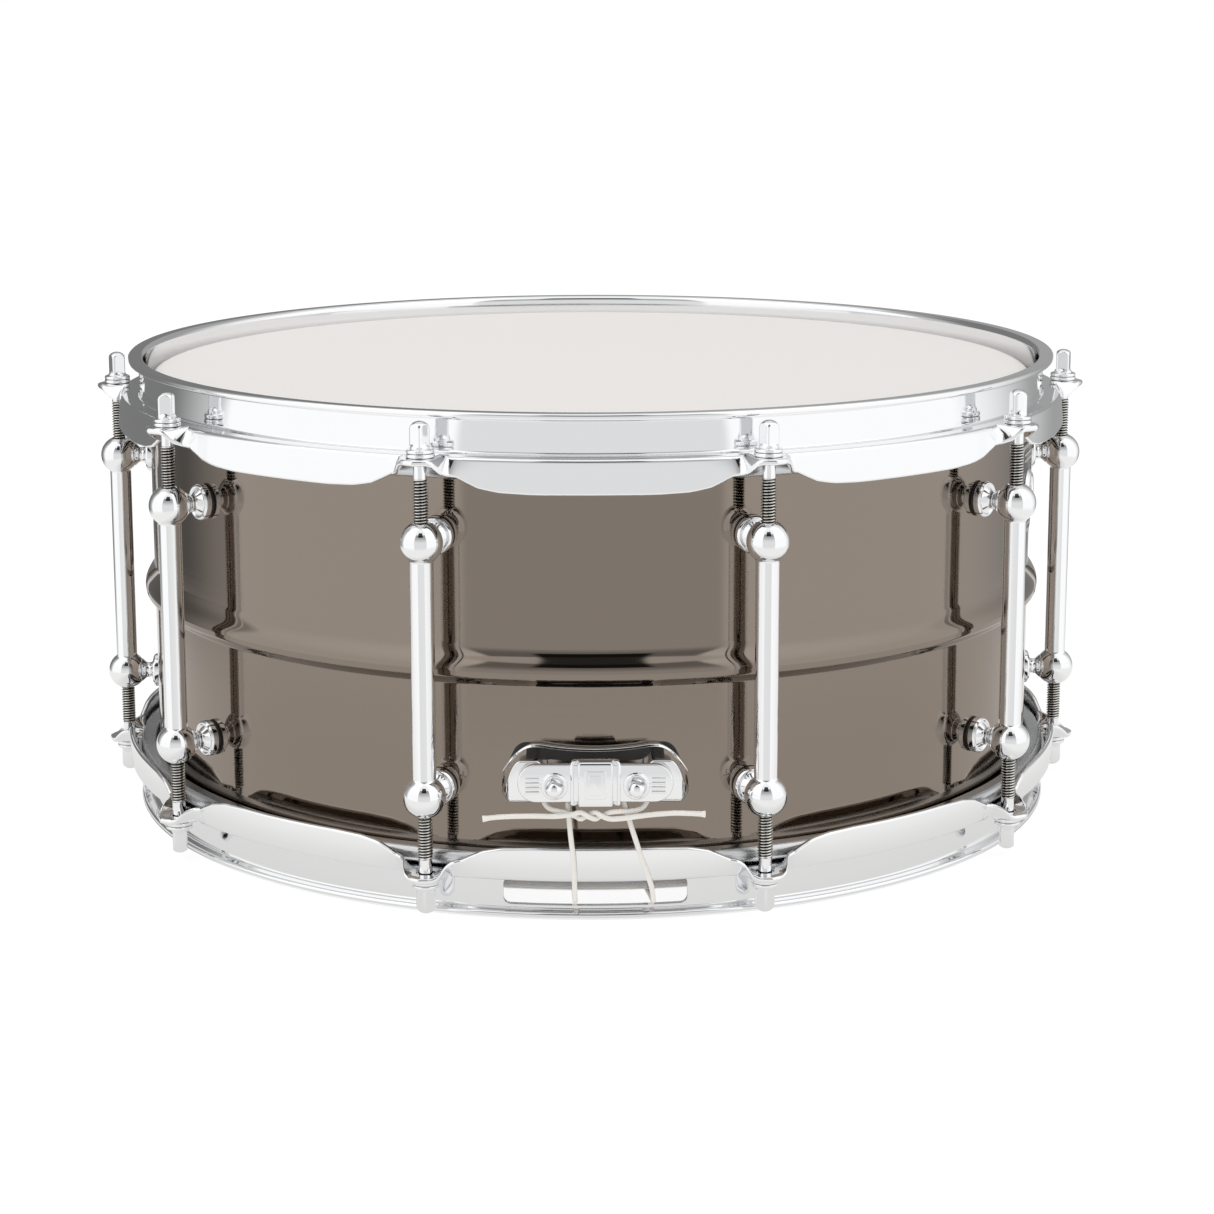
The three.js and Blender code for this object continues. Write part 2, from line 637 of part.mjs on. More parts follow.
// The same at the back, where the tails hang a little lower.
const BACK_CORD = [
  [-31, 193, 35.6], [-25, 193.6, 36.9], [-18, 194.2, 37.8], [-12, 194.8, 38.2], [-8, 195, 38.7],
  [-5, 194.4, 39.3], [-2.5, 195.5, 38.2], [0, 194.4, 37.1], [2.5, 193.3, 38.2], [5, 194.3, 39.3],
  [8, 193.7, 40.2], [11, 192.2, 42], [13, 191, 43.4], [14, 190.3, 46], [14.2, 190.3, 50],
  [12.8, 190.3, 54], [9, 190.3, 55.8], [5.2, 190.3, 54], [4.2, 190.3, 50], [4.6, 190.4, 46],
  [5.2, 191.2, 42.4], [5.9, 192.1, 37], [6.5, 192.5, 32], [7, 192.5, 27.5], [7.5, 192.1, 22],
  [7.8, 191.5, 17], [8, 190.3, 12.8], [8, 187, 8.5], [8, 182.5, 6.2], [8, 176.5, 5.6], [8, 170, 5.6],
  [8, 165, 5.5], [8, 160.5, 5.5], [8, 157.8, 4.3], [8, 155.2, 3.1], [8, 152.6, 1.95], [7, 149, 1.8],
  [4, 147, 1.8], [0, 146.6, 1.8], [-4, 147, 1.8], [-7, 149, 1.8], [-8, 152.6, 1.95], [-8, 155.2, 3.1],
  [-8, 157.8, 4.3], [-8, 160.5, 5.5], [-8, 165, 5.5], [-8, 170, 5.6], [-8, 176.5, 5.6],
  [-8, 182.5, 6.2], [-8, 187, 8.5], [-8, 190.3, 12.8], [-7.8, 191.5, 17], [-7.5, 192.1, 22],
  [-7, 192.5, 27.5], [-6.5, 192.5, 32], [-5.9, 192.1, 37], [-5.2, 191.2, 42.4], [-4.6, 190.4, 46],
  [-4.2, 190.3, 50], [-5.2, 190.3, 54], [-9, 190.3, 55.8], [-12.8, 190.3, 54], [-14.2, 190.3, 50],
  [-14, 190.3, 46], [-13, 191, 43.4], [-11, 192.2, 41.6], [-8.6, 193, 39.4], [-5, 193.9, 37],
  [-2.5, 193.3, 38.2], [0, 194.4, 39.3], [2.5, 195.5, 38.2], [5, 194.6, 37.1], [9, 194.9, 37],
  [14, 194.8, 37.2], [20, 194.2, 36.8], [26, 193.4, 35.8], [31, 192.8, 34.6],
];

// ---- strainer ----
function strainerBase() {
  const pieces = [
    plate(roundedOutline(-17, 17, 46, 110, 5), PLATE_IN, PLATE_OUT),
    ...STRAINER_MOUNTS.map((z) => block(-8, 8, SHELL_R + GAP, PLATE_IN + 0.5, z - 5, z + 5)),
    ...[-1, 1].flatMap((side) => {
      const [x0, x1] = side < 0 ? [-RAIL_OUT_X, -RAIL_X] : [RAIL_X, RAIL_OUT_X];
      return [
        block(x0, x1, PLATE_OUT - 0.5, 190.5, 57.5, 90),
        block(x0, x1, PLATE_OUT - 0.5, 196.5, 90, 106),
      ];
    }),
  ];
  const pinBore = rod(PIN_R + GAP, -20, 20).rotateY(Math.PI / 2).translate(0, PIVOT_Y, PIVOT_Z);
  const screwBores = STRAINER_MOUNTS.map((z) =>
    screwBore(0, z, MOUNT_SCREW_R + 0.4, SHELL_R - 4, PLATE_IN + 1.5),
  );
  return cut(join(...pieces), pinBore, ...screwBores);
}

// A barrel on the pivot pin, with a flat handle that stands up and turns out at its end.
function strainerLever() {
  const barrel = rod(BARREL_R, -SLIDE_X, SLIDE_X, 12).rotateY(Math.PI / 2).translate(0, PIVOT_Y, PIVOT_Z);
  const handle = new THREE.Shape();
  handle.moveTo(-6.5, PIVOT_Z);
  handle.lineTo(6.5, PIVOT_Z);
  handle.lineTo(5, 134);
  handle.absarc(0, 141, 7, -0.45, Math.PI + 0.45);
  handle.lineTo(-5, 134);
  const grip = plate(handle, PIVOT_Y + 1, PIVOT_Y + 5, 5);
  const bore = rod(PIN_R + GAP, -20, 20).rotateY(Math.PI / 2).translate(0, PIVOT_Y, PIVOT_Z);
  return cut(join(barrel, grip), bore);
}

function pivotPin() {
  const end = RAIL_OUT_X + GAP;
  const profile = [
    [0, -end - 1.6],
    [3.4, -end - 1.6],
    [3.4, -end],
    [PIN_R, -end],
    [PIN_R, end + 1.2],
    [0, end + 1.2],
  ];
  return revolve(profile, 8).rotateY(Math.PI / 2).translate(0, PIVOT_Y, PIVOT_Z);
}

const spindleBore = () => rod(SPINDLE_R + 0.4, 60, 81).translate(0, KNOB_Y, 0);

function strainerSlide() {
  const body = block(-SLIDE_X, SLIDE_X, SLIDE_IN, 190.5, KNOB_HIGH + 0.6, 92);
  const nose = block(-7, 7, 190, NOSE_OUT, KNOB_HIGH + 0.6, 82);
  return cut(join(body, nose), spindleBore());
}

function tensionKnob() {
  const wheel = revolve(
    [[0, KNOB_LOW], [KNOB_R, KNOB_LOW], [KNOB_R, KNOB_HIGH], [0, KNOB_HIGH]],
    16,
  );
  return join(wheel, rod(SPINDLE_R, SPINDLE_LOW, 80)).translate(0, KNOB_Y, 0);
}

function clampCarriage() {
  const [low, top] = [BUTT_Z - 10, KNOB_LOW - 2.2];
  const body = block(-SLIDE_X, SLIDE_X, SLIDE_IN, CLAMP_FACE, low, top);
  const lower = plate(roundedOutline(-17, 17, low, 55.6, 4), SLIDE_IN, CLAMP_FACE);
  const nose = block(-7, 7, CLAMP_FACE - 0.5, NOSE_OUT, top - 2.4, top);
  const bores = [-1, 1].map((side) =>
    screwBore(side * STRAINER_SCREW_X, CLAMP_SCREW_Z, 2.4, SLIDE_IN - 2, CLAMP_FACE + 2),
  );
  return cut(join(body, lower, nose), ...bores, spindleBore());
}

// ---- the drum ----
add("shell", shell(), blackNickel);
add("batter_head", revolve(filmProfile(), SIDES), film);
add("batter_flesh_hoop", revolve(fleshProfile(), SIDES), aluminium);
add("snare_head", revolve(flipAll(filmProfile()), SIDES), clearFilm);
add("snare_flesh_hoop", revolve(flipAll(fleshProfile()), SIDES), aluminium);
add("top_hoop", hoop(false), chrome);
add("bottom_hoop", hoop(true), chrome);
lugAzimuths.forEach((azimuth, i) => {
  const number = String(i + 1).padStart(2, "0");
  add(`lug_${number}`, lug(azimuth), chrome);
  add(`top_rod_${number}`, tensionRod(azimuth, false), chrome);
  add(`bottom_rod_${number}`, tensionRod(azimuth, true), chrome);
});
add("badge", badge(), badgeMetal);
add("vent_grommet", grommet(), chrome);

add("butt_plate", toFront(buttPlate()), chrome);
add("butt_clamp_plate", toFront(clampPlate(26.9, BUTT_SCREW_X, clampBlock())), chrome);
for (const [side, name] of [[1, "left"], [-1, "right"]]) {
  add(`butt_clamp_screw_${name}`, toFront(clampScrew(side * BUTT_SCREW_X)), chrome);
  add(
    `butt_mount_screw_${name}`,
    toFront(mountScrew(side * BUTT_MOUNT_X, BUTT_Z, CLAMP_FACE - 4.6)),
    steel,
  );
}
add("snare_wires", snareWires(), steel);
add("snare_cord_front", cord(FRONT_CORD), cordWhite);
add("snare_cord_back", cord(BACK_CORD), cordWhite);

add("strainer_base", strainerBase(), chrome);
STRAINER_MOUNTS.forEach((z, i) => {
  add(`strainer_mount_screw_${i ? "top" : "bottom"}`, mountScrew(0, z, PLATE_IN + 1), steel);
});
add("strainer_lever", strainerLever(), chrome);
add("lever_pivot_pin", pivotPin(), steel);
add("strainer_slide", strainerSlide(), chrome);
add("tension_knob", tensionKnob(), chrome);
add("clamp_carriage", clampCarriage(), chrome);
add("strainer_clamp_plate", clampPlate(16.5, STRAINER_SCREW_X), chrome);
for (const [side, name] of [[-1, "left"], [1, "right"]]) {
  add(`strainer_clamp_screw_${name}`, clampScrew(side * STRAINER_SCREW_X), chrome);
}

export default drum;
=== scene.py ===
"""The looks of a 14 by 6.5 inch metal snare drum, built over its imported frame.

Shapes are drawn in millimetres and scaled to metres when an object is made. An azimuth is measured
from the front (-Y) towards +X. Profiles and sections are (radius, height) points.
"""

import json
import math

import bmesh
import bpy
import numpy as np
from mathutils import Matrix, Vector


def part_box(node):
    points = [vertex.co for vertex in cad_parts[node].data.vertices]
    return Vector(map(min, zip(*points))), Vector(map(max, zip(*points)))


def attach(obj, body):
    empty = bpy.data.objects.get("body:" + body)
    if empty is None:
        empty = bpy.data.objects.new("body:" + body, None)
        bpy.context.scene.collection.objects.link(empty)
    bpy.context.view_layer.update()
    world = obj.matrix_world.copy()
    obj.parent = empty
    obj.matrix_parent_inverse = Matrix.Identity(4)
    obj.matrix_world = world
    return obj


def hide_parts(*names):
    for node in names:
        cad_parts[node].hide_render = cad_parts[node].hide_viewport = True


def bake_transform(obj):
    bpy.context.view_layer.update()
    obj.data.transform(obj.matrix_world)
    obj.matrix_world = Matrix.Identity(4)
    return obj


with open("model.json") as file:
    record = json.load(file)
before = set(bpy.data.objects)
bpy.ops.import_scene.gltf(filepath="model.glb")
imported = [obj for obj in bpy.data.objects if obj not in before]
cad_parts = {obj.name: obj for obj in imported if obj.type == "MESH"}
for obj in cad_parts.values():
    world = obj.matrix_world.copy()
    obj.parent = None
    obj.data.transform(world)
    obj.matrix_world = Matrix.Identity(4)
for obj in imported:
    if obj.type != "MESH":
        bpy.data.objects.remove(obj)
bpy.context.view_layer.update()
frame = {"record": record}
scene = bpy.context.scene
SLOT_OF = {s["node"]: s["material_slot"] for s in frame["record"]["subparts"]}


def box_mm(node):
    low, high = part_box(node)
    return np.array(low) * 1000, np.array(high) * 1000


def middle(node):
    low, high = box_mm(node)
    return (low + high) / 2


def heights(node):
    low, high = box_mm(node)
    return low[2], high[2]


# ---- dimensions, the first ones read from the frame ----
HEIGHT = box_mm("top_hoop")[1][2]
MID = HEIGHT / 2
BEAD_R = box_mm("shell")[1][0]
SHELL_TOP = box_mm("shell")[1][2]
FILM_TOP = box_mm("batter_head")[1][2]
FLESH_LOW, FLESH_TOP = heights("batter_flesh_hoop")
FLESH_OUT = box_mm("batter_flesh_hoop")[1][0]
RIM_R = 185.7
ROD_TOP = box_mm("top_rod_01")[1][2]
ROD_R = math.hypot(*middle("top_rod_01")[:2])
NUMBERS = [f"{i:02d}" for i in range(1, 11)]
AZIMUTHS = [
    math.degrees(math.atan2(middle(f"top_rod_{n}")[0], -middle(f"top_rod_{n}")[1])) for n in NUMBERS
]

SHELL_R = 177.8
SHELL_WALL = 1.3
EDGE_R = 174.3
BEAD_HALF = 7.5
COLLAR_R = 178.25
SHEET = 2.2
WALL_R = 181.6
RIM_EDGE = 2.6
SHOULDER = 165.0
EAR_ROOT_R = 186.6
SKIRT_OUT = 2.6
HOLE_R = 3.3
GATE = (32.5, 4.1, 13.9)
# A hoop's flange by the distance along the rim from the middle of an ear: distance, degrees that it is
# bent down, length from its bend to its edge.
FLANGE = np.array([
    (0, 0, 14.2), (3, 0, 13.2), (4.5, 0, 12.3), (6, 4, 11.2), (7.2, 16, 9.6), (8.4, 40, 7.6), (9.8, 62, 7.0),
    (12, 75, 7.1), (16, 81, 9.0), (20, 83.5, 10.8), (27, 85, 12.1), (38, 85.5, 12.6), (61, 86, 12.6),
])
BALL_R = 7.6
BALL_UP = 45.3
TUBE_R = 4.2


# ---- shape helpers; a shape is (vertices, faces, material number) ----
def fillet(points, steps=5):
    """Rounds the corners of an outline that have a radius. Its points are (x, y) or (x, y, radius)."""
    flat = [np.array(p[:2], float) for p in points]
    out = []
    for i, corner in enumerate(flat):
        radius = points[i][2] if len(points[i]) > 2 else 0
        if radius <= 0:
            out.append(corner)
            continue
        u, v = flat[i - 1] - corner, flat[(i + 1) % len(flat)] - corner
        length_u, length_v = np.linalg.norm(u), np.linalg.norm(v)
        u, v = u / length_u, v / length_v
        half = (math.pi - math.acos(np.clip(u @ v, -1, 1))) / 2
        reach = min(max(radius * math.tan(half), 0.1), 0.48 * length_u, 0.48 * length_v)
        for s in np.linspace(0, 1, steps + 1):
            a, b, c = (1 - s) ** 2, 2 * s * (1 - s) * math.cos(half), s * s
            out.append((a * (corner + u * reach) + b * corner + c * (corner + v * reach)) / (a + b + c))
    return np.array(out)


def tidy_face(indices):
    kept = [a for i, a in enumerate(indices) if a != indices[i - 1]]
    return tuple(kept) if len(set(kept)) > 2 else None


def grid_faces(rows, wrap):
    """Faces between closed rows of vertex numbers; numbers that repeat make triangles."""
    faces = []
    count = len(rows[0])
    for i in range(len(rows) if wrap else len(rows) - 1):
        here, there = rows[i], rows[(i + 1) % len(rows)]
        for k in range(count):
            j = (k + 1) % count
            face = tidy_face((here[k], there[k], there[j], here[j]))
            if face:
                faces.append(face)
    return faces


def lathe(profile, steps=64, material=0):
    """A closed profile of (radius, height) turned about +Z. Points on the axis become one vertex each."""
    profile = np.asarray([p[:2] for p in profile], float)
    verts, rows = [], [[] for _ in range(steps)]
    turns = circle(steps)
    for r, z in profile:
        if r < 1e-6:
            verts.append((0, 0, z))
            for row in rows:
                row.append(len(verts) - 1)
        else:
            for row, t in zip(rows, turns):
                verts.append((r * math.sin(t), -r * math.cos(t), z))
                row.append(len(verts) - 1)
    return np.array(verts), grid_faces(rows, True), material


def disc(radius, low, high, sides, edges=(0, 0), steps=3, material=0):
    """A round bar about +Z. Its lower and upper edges are rounded by the given radii."""
    profile = [(0, low), (radius, low, edges[0]), (radius, high, edges[1]), (0, high)]
    return lathe(fillet(profile, steps), sides, material)


def loft(sections, material=0, closed=False):
    """Closed sections of 3-D points, each with the same count, joined in a row or a ring."""
    sections = [np.asarray(s, float) for s in sections]
    count = len(sections[0])
    rows = [list(range(i * count, (i + 1) * count)) for i in range(len(sections))]
    faces = grid_faces(rows, closed)
    if not closed:
        faces += [tuple(rows[0]), tuple(reversed(rows[-1]))]
    return np.concatenate(sections), faces, material


def circle(steps):
    """Angles spread evenly round a circle."""
    return np.arange(steps) * 2 * math.pi / steps


def round_z(radius, angle, height):
    """Points at the given radii, angles and heights round +Z."""
    return np.column_stack(np.broadcast_arrays(radius * np.sin(angle), -radius * np.cos(angle), height))


def slab(outline, y0, y1, bevel=0.0, material=0, segments=3):
    """An (x, z) outline made solid from y0 to y1, with its edges rounded."""
    outline = [tuple(p[:2]) for p in outline]
    count = len(outline)
    verts = [(x, y0, z) for x, z in outline] + [(x, y1, z) for x, z in outline]
    faces = [tuple(range(count)), tuple(reversed(range(count, 2 * count)))]
    faces += [(i, i + count, (i + 1) % count + count, (i + 1) % count) for i in range(count)]
    made = (np.array(verts), faces, material)
    return rounded_edges(made, bevel, segments) if bevel else made


def rounded_edges(shape, width, segments=3, angle=30):
    verts, faces, material = shape
    bm = bmesh.new()
    made = [bm.verts.new(v) for v in verts]
    for face in faces:
        bm.faces.new([made[i] for i in face])
    bmesh.ops.recalc_face_normals(bm, faces=bm.faces)
    edges = [e for e in bm.edges if len(e.link_faces) == 2 and e.calc_face_angle(0) > math.radians(angle)]
    bmesh.ops.bevel(
        bm, geom=edges, offset=width, offset_type="OFFSET", segments=segments, profile=0.5,
        affect="EDGES", clamp_overlap=True,
    )
    bm.verts.index_update()
    result = (
        np.array([v.co[:] for v in bm.verts]), [tuple(v.index for v in f.verts) for f in bm.faces],
        material,
    )
    bm.free()
    return result


def block(x0, x1, y0, y1, z0, z1, bevel=0.4, material=0):
    return slab([(x0, z0), (x1, z0), (x1, z1), (x0, z1)], y0, y1, bevel, material)


def rounded_box(x0, x1, z0, z1, radius, steps=8):
    return fillet([(x0, z0, radius), (x1, z0, radius), (x1, z1, radius), (x0, z1, radius)], steps)


def moved(shape, matrix):
    verts, faces, material = shape
    m = np.array(matrix)
    return verts @ m[:3, :3].T + m[:3, 3], faces, material


def along_y(shape, x=0.0, z=0.0, y=0.0):
    """Lays a shape made along +Z along +Y, and moves it."""
    return moved(shape, Matrix.Translation((x, y, z)) @ Matrix.Rotation(-math.pi / 2, 4, "X"))


def turned(shape, degrees):
    return moved(shape, Matrix.Rotation(math.radians(degrees), 4, "Z"))


def along(points, count):
    """Points spread evenly along a smooth curve through the given ones, with the tangents there."""
    p = np.asarray(points, float)
    p = np.vstack([2 * p[0] - p[1], p, 2 * p[-1] - p[-2]])
    dense = []
    for i in range(1, len(p) - 2):
        for s in np.linspace(0, 1, 24, endpoint=False):
            a, b, c, d = p[i - 1], p[i], p[i + 1], p[i + 2]
            square = (2 * a - 5 * b + 4 * c - d) * s**2
            cube = (3 * b - a - 3 * c + d) * s**3
            dense.append(0.5 * (2 * b + (c - a) * s + square + cube))
    dense = np.array(dense + [p[-2]])
    lengths = np.concatenate([[0], np.cumsum(np.linalg.norm(np.diff(dense, axis=0), axis=1))])
    at = np.linspace(0, lengths[-1], count)
    even = np.column_stack([np.interp(at, lengths, dense[:, k]) for k in range(3)])
    tangents = np.gradient(even, axis=0)
    return even, tangents / np.linalg.norm(tangents, axis=1)[:, None], at


def tube(points, count, sides, radius_at):
    """A closed tube along a curve. radius_at(distances, angles) gives its radius as a grid."""
    path, tangents, at = along(points, count)
    normal = np.cross(tangents[0], (0.3, 0.2, 0.93))
    angles = circle(sides)
    radii = radius_at(at[:, None], angles[None, :])
    verts = []
    for i in range(count):
        normal = normal - tangents[i] * (normal @ tangents[i])
        normal /= np.linalg.norm(normal)
        side = np.cross(tangents[i], normal)
        offsets = np.cos(angles)[:, None] * normal + np.sin(angles)[:, None] * side
        verts.append(path[i] + offsets * radii[i][:, None])
    return loft(verts)


def smooth(mesh, sharp=35):
    mesh.polygons.foreach_set("use_smooth", [True] * len(mesh.polygons))
    mesh.set_sharp_from_angle(angle=math.radians(sharp))


def mesh_of(name, shapes, materials, sharp=35):
    verts, faces, numbers, first = [], [], [], 0
    for v, f, material in shapes:
        verts.append(v)
        faces += [tuple(i + first for i in face) for face in f]
        numbers += [material] * len(f)
        first += len(v)
    mesh = bpy.data.meshes.new(name)
    mesh.from_pydata((np.concatenate(verts) * 0.001).tolist(), [], faces)
    mesh.polygons.foreach_set("material_index", numbers)
    for material in materials:
        mesh.materials.append(material)
    bm = bmesh.new()
    bm.from_mesh(mesh)
    bmesh.ops.recalc_face_normals(bm, faces=bm.faces)
    bm.to_mesh(mesh)
    bm.free()
    smooth(mesh, sharp)
    return mesh


def place(name, mesh, body, nodes=(), matrix=None, slot=None):
    obj = bpy.data.objects.new(name, mesh)
    scene.collection.objects.link(obj)
    if matrix is not None:
        obj.matrix_world = matrix
    if body:
        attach(obj, body)
    if nodes:
        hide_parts(*nodes)
    slot = slot or (SLOT_OF[nodes[0]] if nodes else None)
    return obj


def make(name, shapes, materials, body, nodes=(), sharp=35, slot=None):
    return place(name, mesh_of(name, shapes, materials, sharp), body, nodes, slot=slot)


def cut(obj, shapes):
    """Cuts closed shapes out of an object."""
    mesh = mesh_of("cutter", shapes, [])
    cutter = bpy.data.objects.new("cutter", mesh)
    scene.collection.objects.link(cutter)
    modifier = obj.modifiers.new("cut", "BOOLEAN")
    modifier.operation = "DIFFERENCE"
    modifier.solver = "EXACT"
    modifier.object = cutter
    bpy.context.view_layer.update()
    result = bpy.data.meshes.new_from_object(obj.evaluated_get(bpy.context.evaluated_depsgraph_get()))
    obj.modifiers.clear()
    obj.data = result
    bpy.data.objects.remove(cutter)
    smooth(result)


# ---- materials ----
class Graph:
    """Short ways to add nodes to a tree."""

    def __init__(self, tree):
        self.tree = tree

    def node(self, kind, inputs=(), **settings):
        made = self.tree.nodes.new("ShaderNode" + kind)
        for key, value in settings.items():
            setattr(made, key, value)
        for key, value in dict(inputs).items():
            self.put(made.inputs[key], value)
        return made

    def put(self, socket, value):
        if isinstance(value, bpy.types.NodeSocket):
            self.tree.links.new(value, socket)
        else:
            socket.default_value = value

    def math(self, operation, a, b=0.0):
        return self.node("Math", {0: a, 1: b}, operation=operation).outputs[0]

    def step(self, value, low, high, start=0.0, end=1.0):
        """Rises smoothly from start to end as value goes from low to high."""
        made = self.node(
            "MapRange",
            {"Value": value, "From Min": low, "From Max": high, "To Min": start, "To Max": end},
            interpolation_type="SMOOTHSTEP",
        )
        return made.outputs["Result"]

    def mix(self, factor, a, b):
        made = self.node("Mix", data_type="FLOAT")
        for socket, value in zip(made.inputs[:1] + made.inputs[2:4], (factor, a, b)):
            self.put(socket, value)
        return made.outputs[0]

    def times(self, a, b):
        return self.math("MULTIPLY", a, b)

    def axes(self, coordinate):
        """The x, y and z of a texture coordinate."""
        where = self.node("TexCoord").outputs[coordinate]
        return self.node("SeparateXYZ", {0: where}).outputs

    def noise(self, scale, detail=2.0, stretch=(1, 1, 1)):
        where = self.node("TexCoord").outputs["Object"]
        where = self.node("Mapping", {"Vector": where, "Scale": stretch}).outputs[0]
        settings = {"Vector": where, "Scale": scale, "Detail": detail}
        return self.node("TexNoise", settings).outputs["Fac"]

    def show_mix(self, factor, a, b):
        """Makes a mix of two shaders the surface."""
        mix = self.node("MixShader", {0: factor, 1: a.outputs[0], 2: b.outputs[0]})
        output = next(n for n in self.tree.nodes if n.type.startswith("OUTPUT"))
        self.put(output.inputs["Surface"], mix.outputs[0])


def principled(name, color, metallic=0.0, roughness=0.5, **inputs):
    material = bpy.data.materials.new(name)
    material.use_nodes = True
    shader = material.node_tree.nodes["Principled BSDF"]
    shader.inputs["Base Color"].default_value = (*color, 1)
    shader.inputs["Metallic"].default_value = metallic
    shader.inputs["Roughness"].default_value = roughness
    for key, value in inputs.items():
        shader.inputs[key.replace("_", " ")].default_value = value
    return material, shader, Graph(material.node_tree)


def textured(name, color, metallic, roughness, scale, depth, detail, varied, stretch=(1, 1, 1), **inputs):
    """A material with a fine relief, its depth in metres, and a roughness that varies."""
    material, shader, graph = principled(name, color, metallic, roughness, **inputs)
    height = graph.noise(scale, detail, stretch)
    bump = graph.node("Bump", {"Height": height, "Distance": depth, "Strength": 1.0})
    graph.put(shader.inputs["Normal"], bump.outputs[0])
    graph.put(shader.inputs["Roughness"], graph.step(height, 0.3, 0.7, *varied))
    return material


CHROME = (0.885, 0.89, 0.9)
chrome = textured("chrome", CHROME, 1, 0.05, 24, 0.00004, 1, (0.03, 0.06))
chrome_cast = textured("chrome_cast", CHROME, 1, 0.07, 90, 0.00005, 2, (0.05, 0.1))
NICKEL = (0.256, 0.216, 0.183)
black_nickel = textured("black_nickel", NICKEL, 1, 0.05, 9, 0.00002, 1, (0.04, 0.07), (1, 1, 40))
aluminium = textured("aluminium", (0.62, 0.63, 0.64), 1, 0.3, 60, 0.00002, 3, (0.22, 0.36), (1, 1, 30))
steel = textured("zinc_steel", (0.56, 0.57, 0.58), 1, 0.25, 400, 0.00001, 3, (0.2, 0.32))
THREAD_PITCH = 1.058


def thread_material():
    """Bright crests of a screw thread, with roots darkened along the helix round the rod: painted shade in
    the grooves, with some grime.
    """
    material, shader, graph = principled("thread_steel", (0.7, 0.69, 0.67), 1, 0.16)
    x, y, z = graph.axes("Object")
    turns = graph.math("DIVIDE", graph.math("ARCTAN2", x, graph.times(y, -1.0)), 2 * math.pi)
    phase = graph.math("SUBTRACT", graph.times(z, 1000 / THREAD_PITCH), turns)
    phase = graph.math("FLOORED_MODULO", phase, 1.0)
    from_root = graph.math("ABSOLUTE", graph.math("SUBTRACT", phase, 0.5))
    # Painted shade, with some grime: the colour darkens to a twentieth of itself towards the root of each
    # groove.
    root_shade = graph.step(from_root, 0.1, 0.34, 0.05, 1.0)
    root_shaded_color = graph.node("VectorMath", {0: (0.78, 0.77, 0.74), "Scale": root_shade}, operation="SCALE")
    graph.put(shader.inputs["Base Color"], root_shaded_color.outputs[0])
    return material


thread_steel = thread_material()
wire_steel = textured("wire_steel", (0.6, 0.6, 0.61), 1, 0.22, 300, 0.00001, 2, (0.16, 0.3))
rubber = textured("black_rubber", (0.012, 0.012, 0.013), 0, 0.45, 500, 0.00002, 2, (0.4, 0.55))
dark_enamel = textured("dark_enamel", (0.025, 0.024, 0.024), 0, 0.22, 200, 0.00001, 1, (0.18, 0.28))
BADGE_COLOR = (0.66, 0.63, 0.57)
badge_metal = textured("badge_metal", BADGE_COLOR, 1, 0.3, 50, 0.00001, 3, (0.24, 0.38), (1, 1, 60))
coated_film = textured("coated_film", (0.8, 0.774, 0.752), 0, 0.8, 1500, 0.00006, 3, (0.75, 0.9))
CORD_COLOR = (0.83, 0.8, 0.75)
cord_white = textured("cord_fibre", CORD_COLOR, 0, 0.8, 3500, 0.00004, 2, (0.7, 0.9), Sheen_Weight=0.25)


def clear_film_material():
    """A thin, hazy, see-through film: mostly transparent, with a shine that grows at a slant."""
    material, shader, graph = principled("clear_film", (0.82, 0.83, 0.83), 0, 0.18)
    clear = graph.node("BsdfTransparent", {"Color": (0.94, 0.945, 0.945, 1)})
    facing = graph.node("LayerWeight", {"Blend": 0.35}).outputs["Facing"]
    haze = graph.math("ADD", 0.16, graph.times(graph.step(facing, 0.3, 1.0), 0.6))
    haze = graph.math("ADD", haze, graph.times(graph.noise(60, 3), 0.05))
    graph.show_mix(haze, clear, shader)
    return material


clear_film = clear_film_material()


def flip(profile):
    """The same profile counted from the other rim."""
    return [(p[0], HEIGHT - p[1], *p[2:]) for p in profile]


# ---- shell ----
def shell():
    rise = BEAD_R - SHELL_R
    upper = [
        (SHELL_R + rise * (0.5 - 0.5 * math.cos(math.pi * t)) ** 1.15, MID + BEAD_HALF - t * 9.6)
        for t in np.linspace(0, 1, 30)
    ]
    lower = [
        (BEAD_R, MID - 2.1), (BEAD_R - 0.15, MID - 4.3, 1.8), (BEAD_R - 2.2, MID - 6.0, 1.0),
        (SHELL_R, MID - BEAD_HALF, 0.8), (SHELL_R, MID - 30),
    ]
    bead = np.array([(SHELL_R, MID + 30), *upper, *map(tuple, fillet(lower, 8))])
    edge = [
        (SHELL_R, SHELL_TOP - 5.2), (SHELL_R, SHELL_TOP - 3.6, 2), (EDGE_R, SHELL_TOP, 0.8),
        (EDGE_R - 1.8, SHELL_TOP - 0.9, 0.6), (SHELL_R - SHELL_WALL, SHELL_TOP - 4.3, 1.5),
        (SHELL_R - SHELL_WALL, SHELL_TOP - 6),
    ]
    edge = fillet(edge)
    rows_high = [(SHELL_R, z) for z in np.arange(SHELL_TOP - 6.4, MID + 31, -1.55)]
    rows_low = [(SHELL_R, z) for z in np.arange(MID - 31, HEIGHT - SHELL_TOP + 7, -3.1)]
    wall = [*rows_high, *bead, *rows_low]
    inner = [(r - SHELL_WALL, z) for r, z in wall[::-1]]
    verts, faces, material = lathe([*edge[::-1], *wall, *np.array(flip(edge)), *inner], 720)
    # The vent's hole, whose edge lies under the grommet.
    a = math.radians(VENT_AZIMUTH)
    outwards = np.array([math.sin(a), -math.cos(a), 0])
    across = np.array([math.cos(a), math.sin(a), 0])
    offset = verts - np.array([0, 0, VENT_Z])
    near = (offset @ outwards > 0) & (np.hypot(offset @ across, offset[:, 2]) < 5.8)
    kept = [f for f in faces if not all(near[i] for i in f)]
    return verts, kept, material


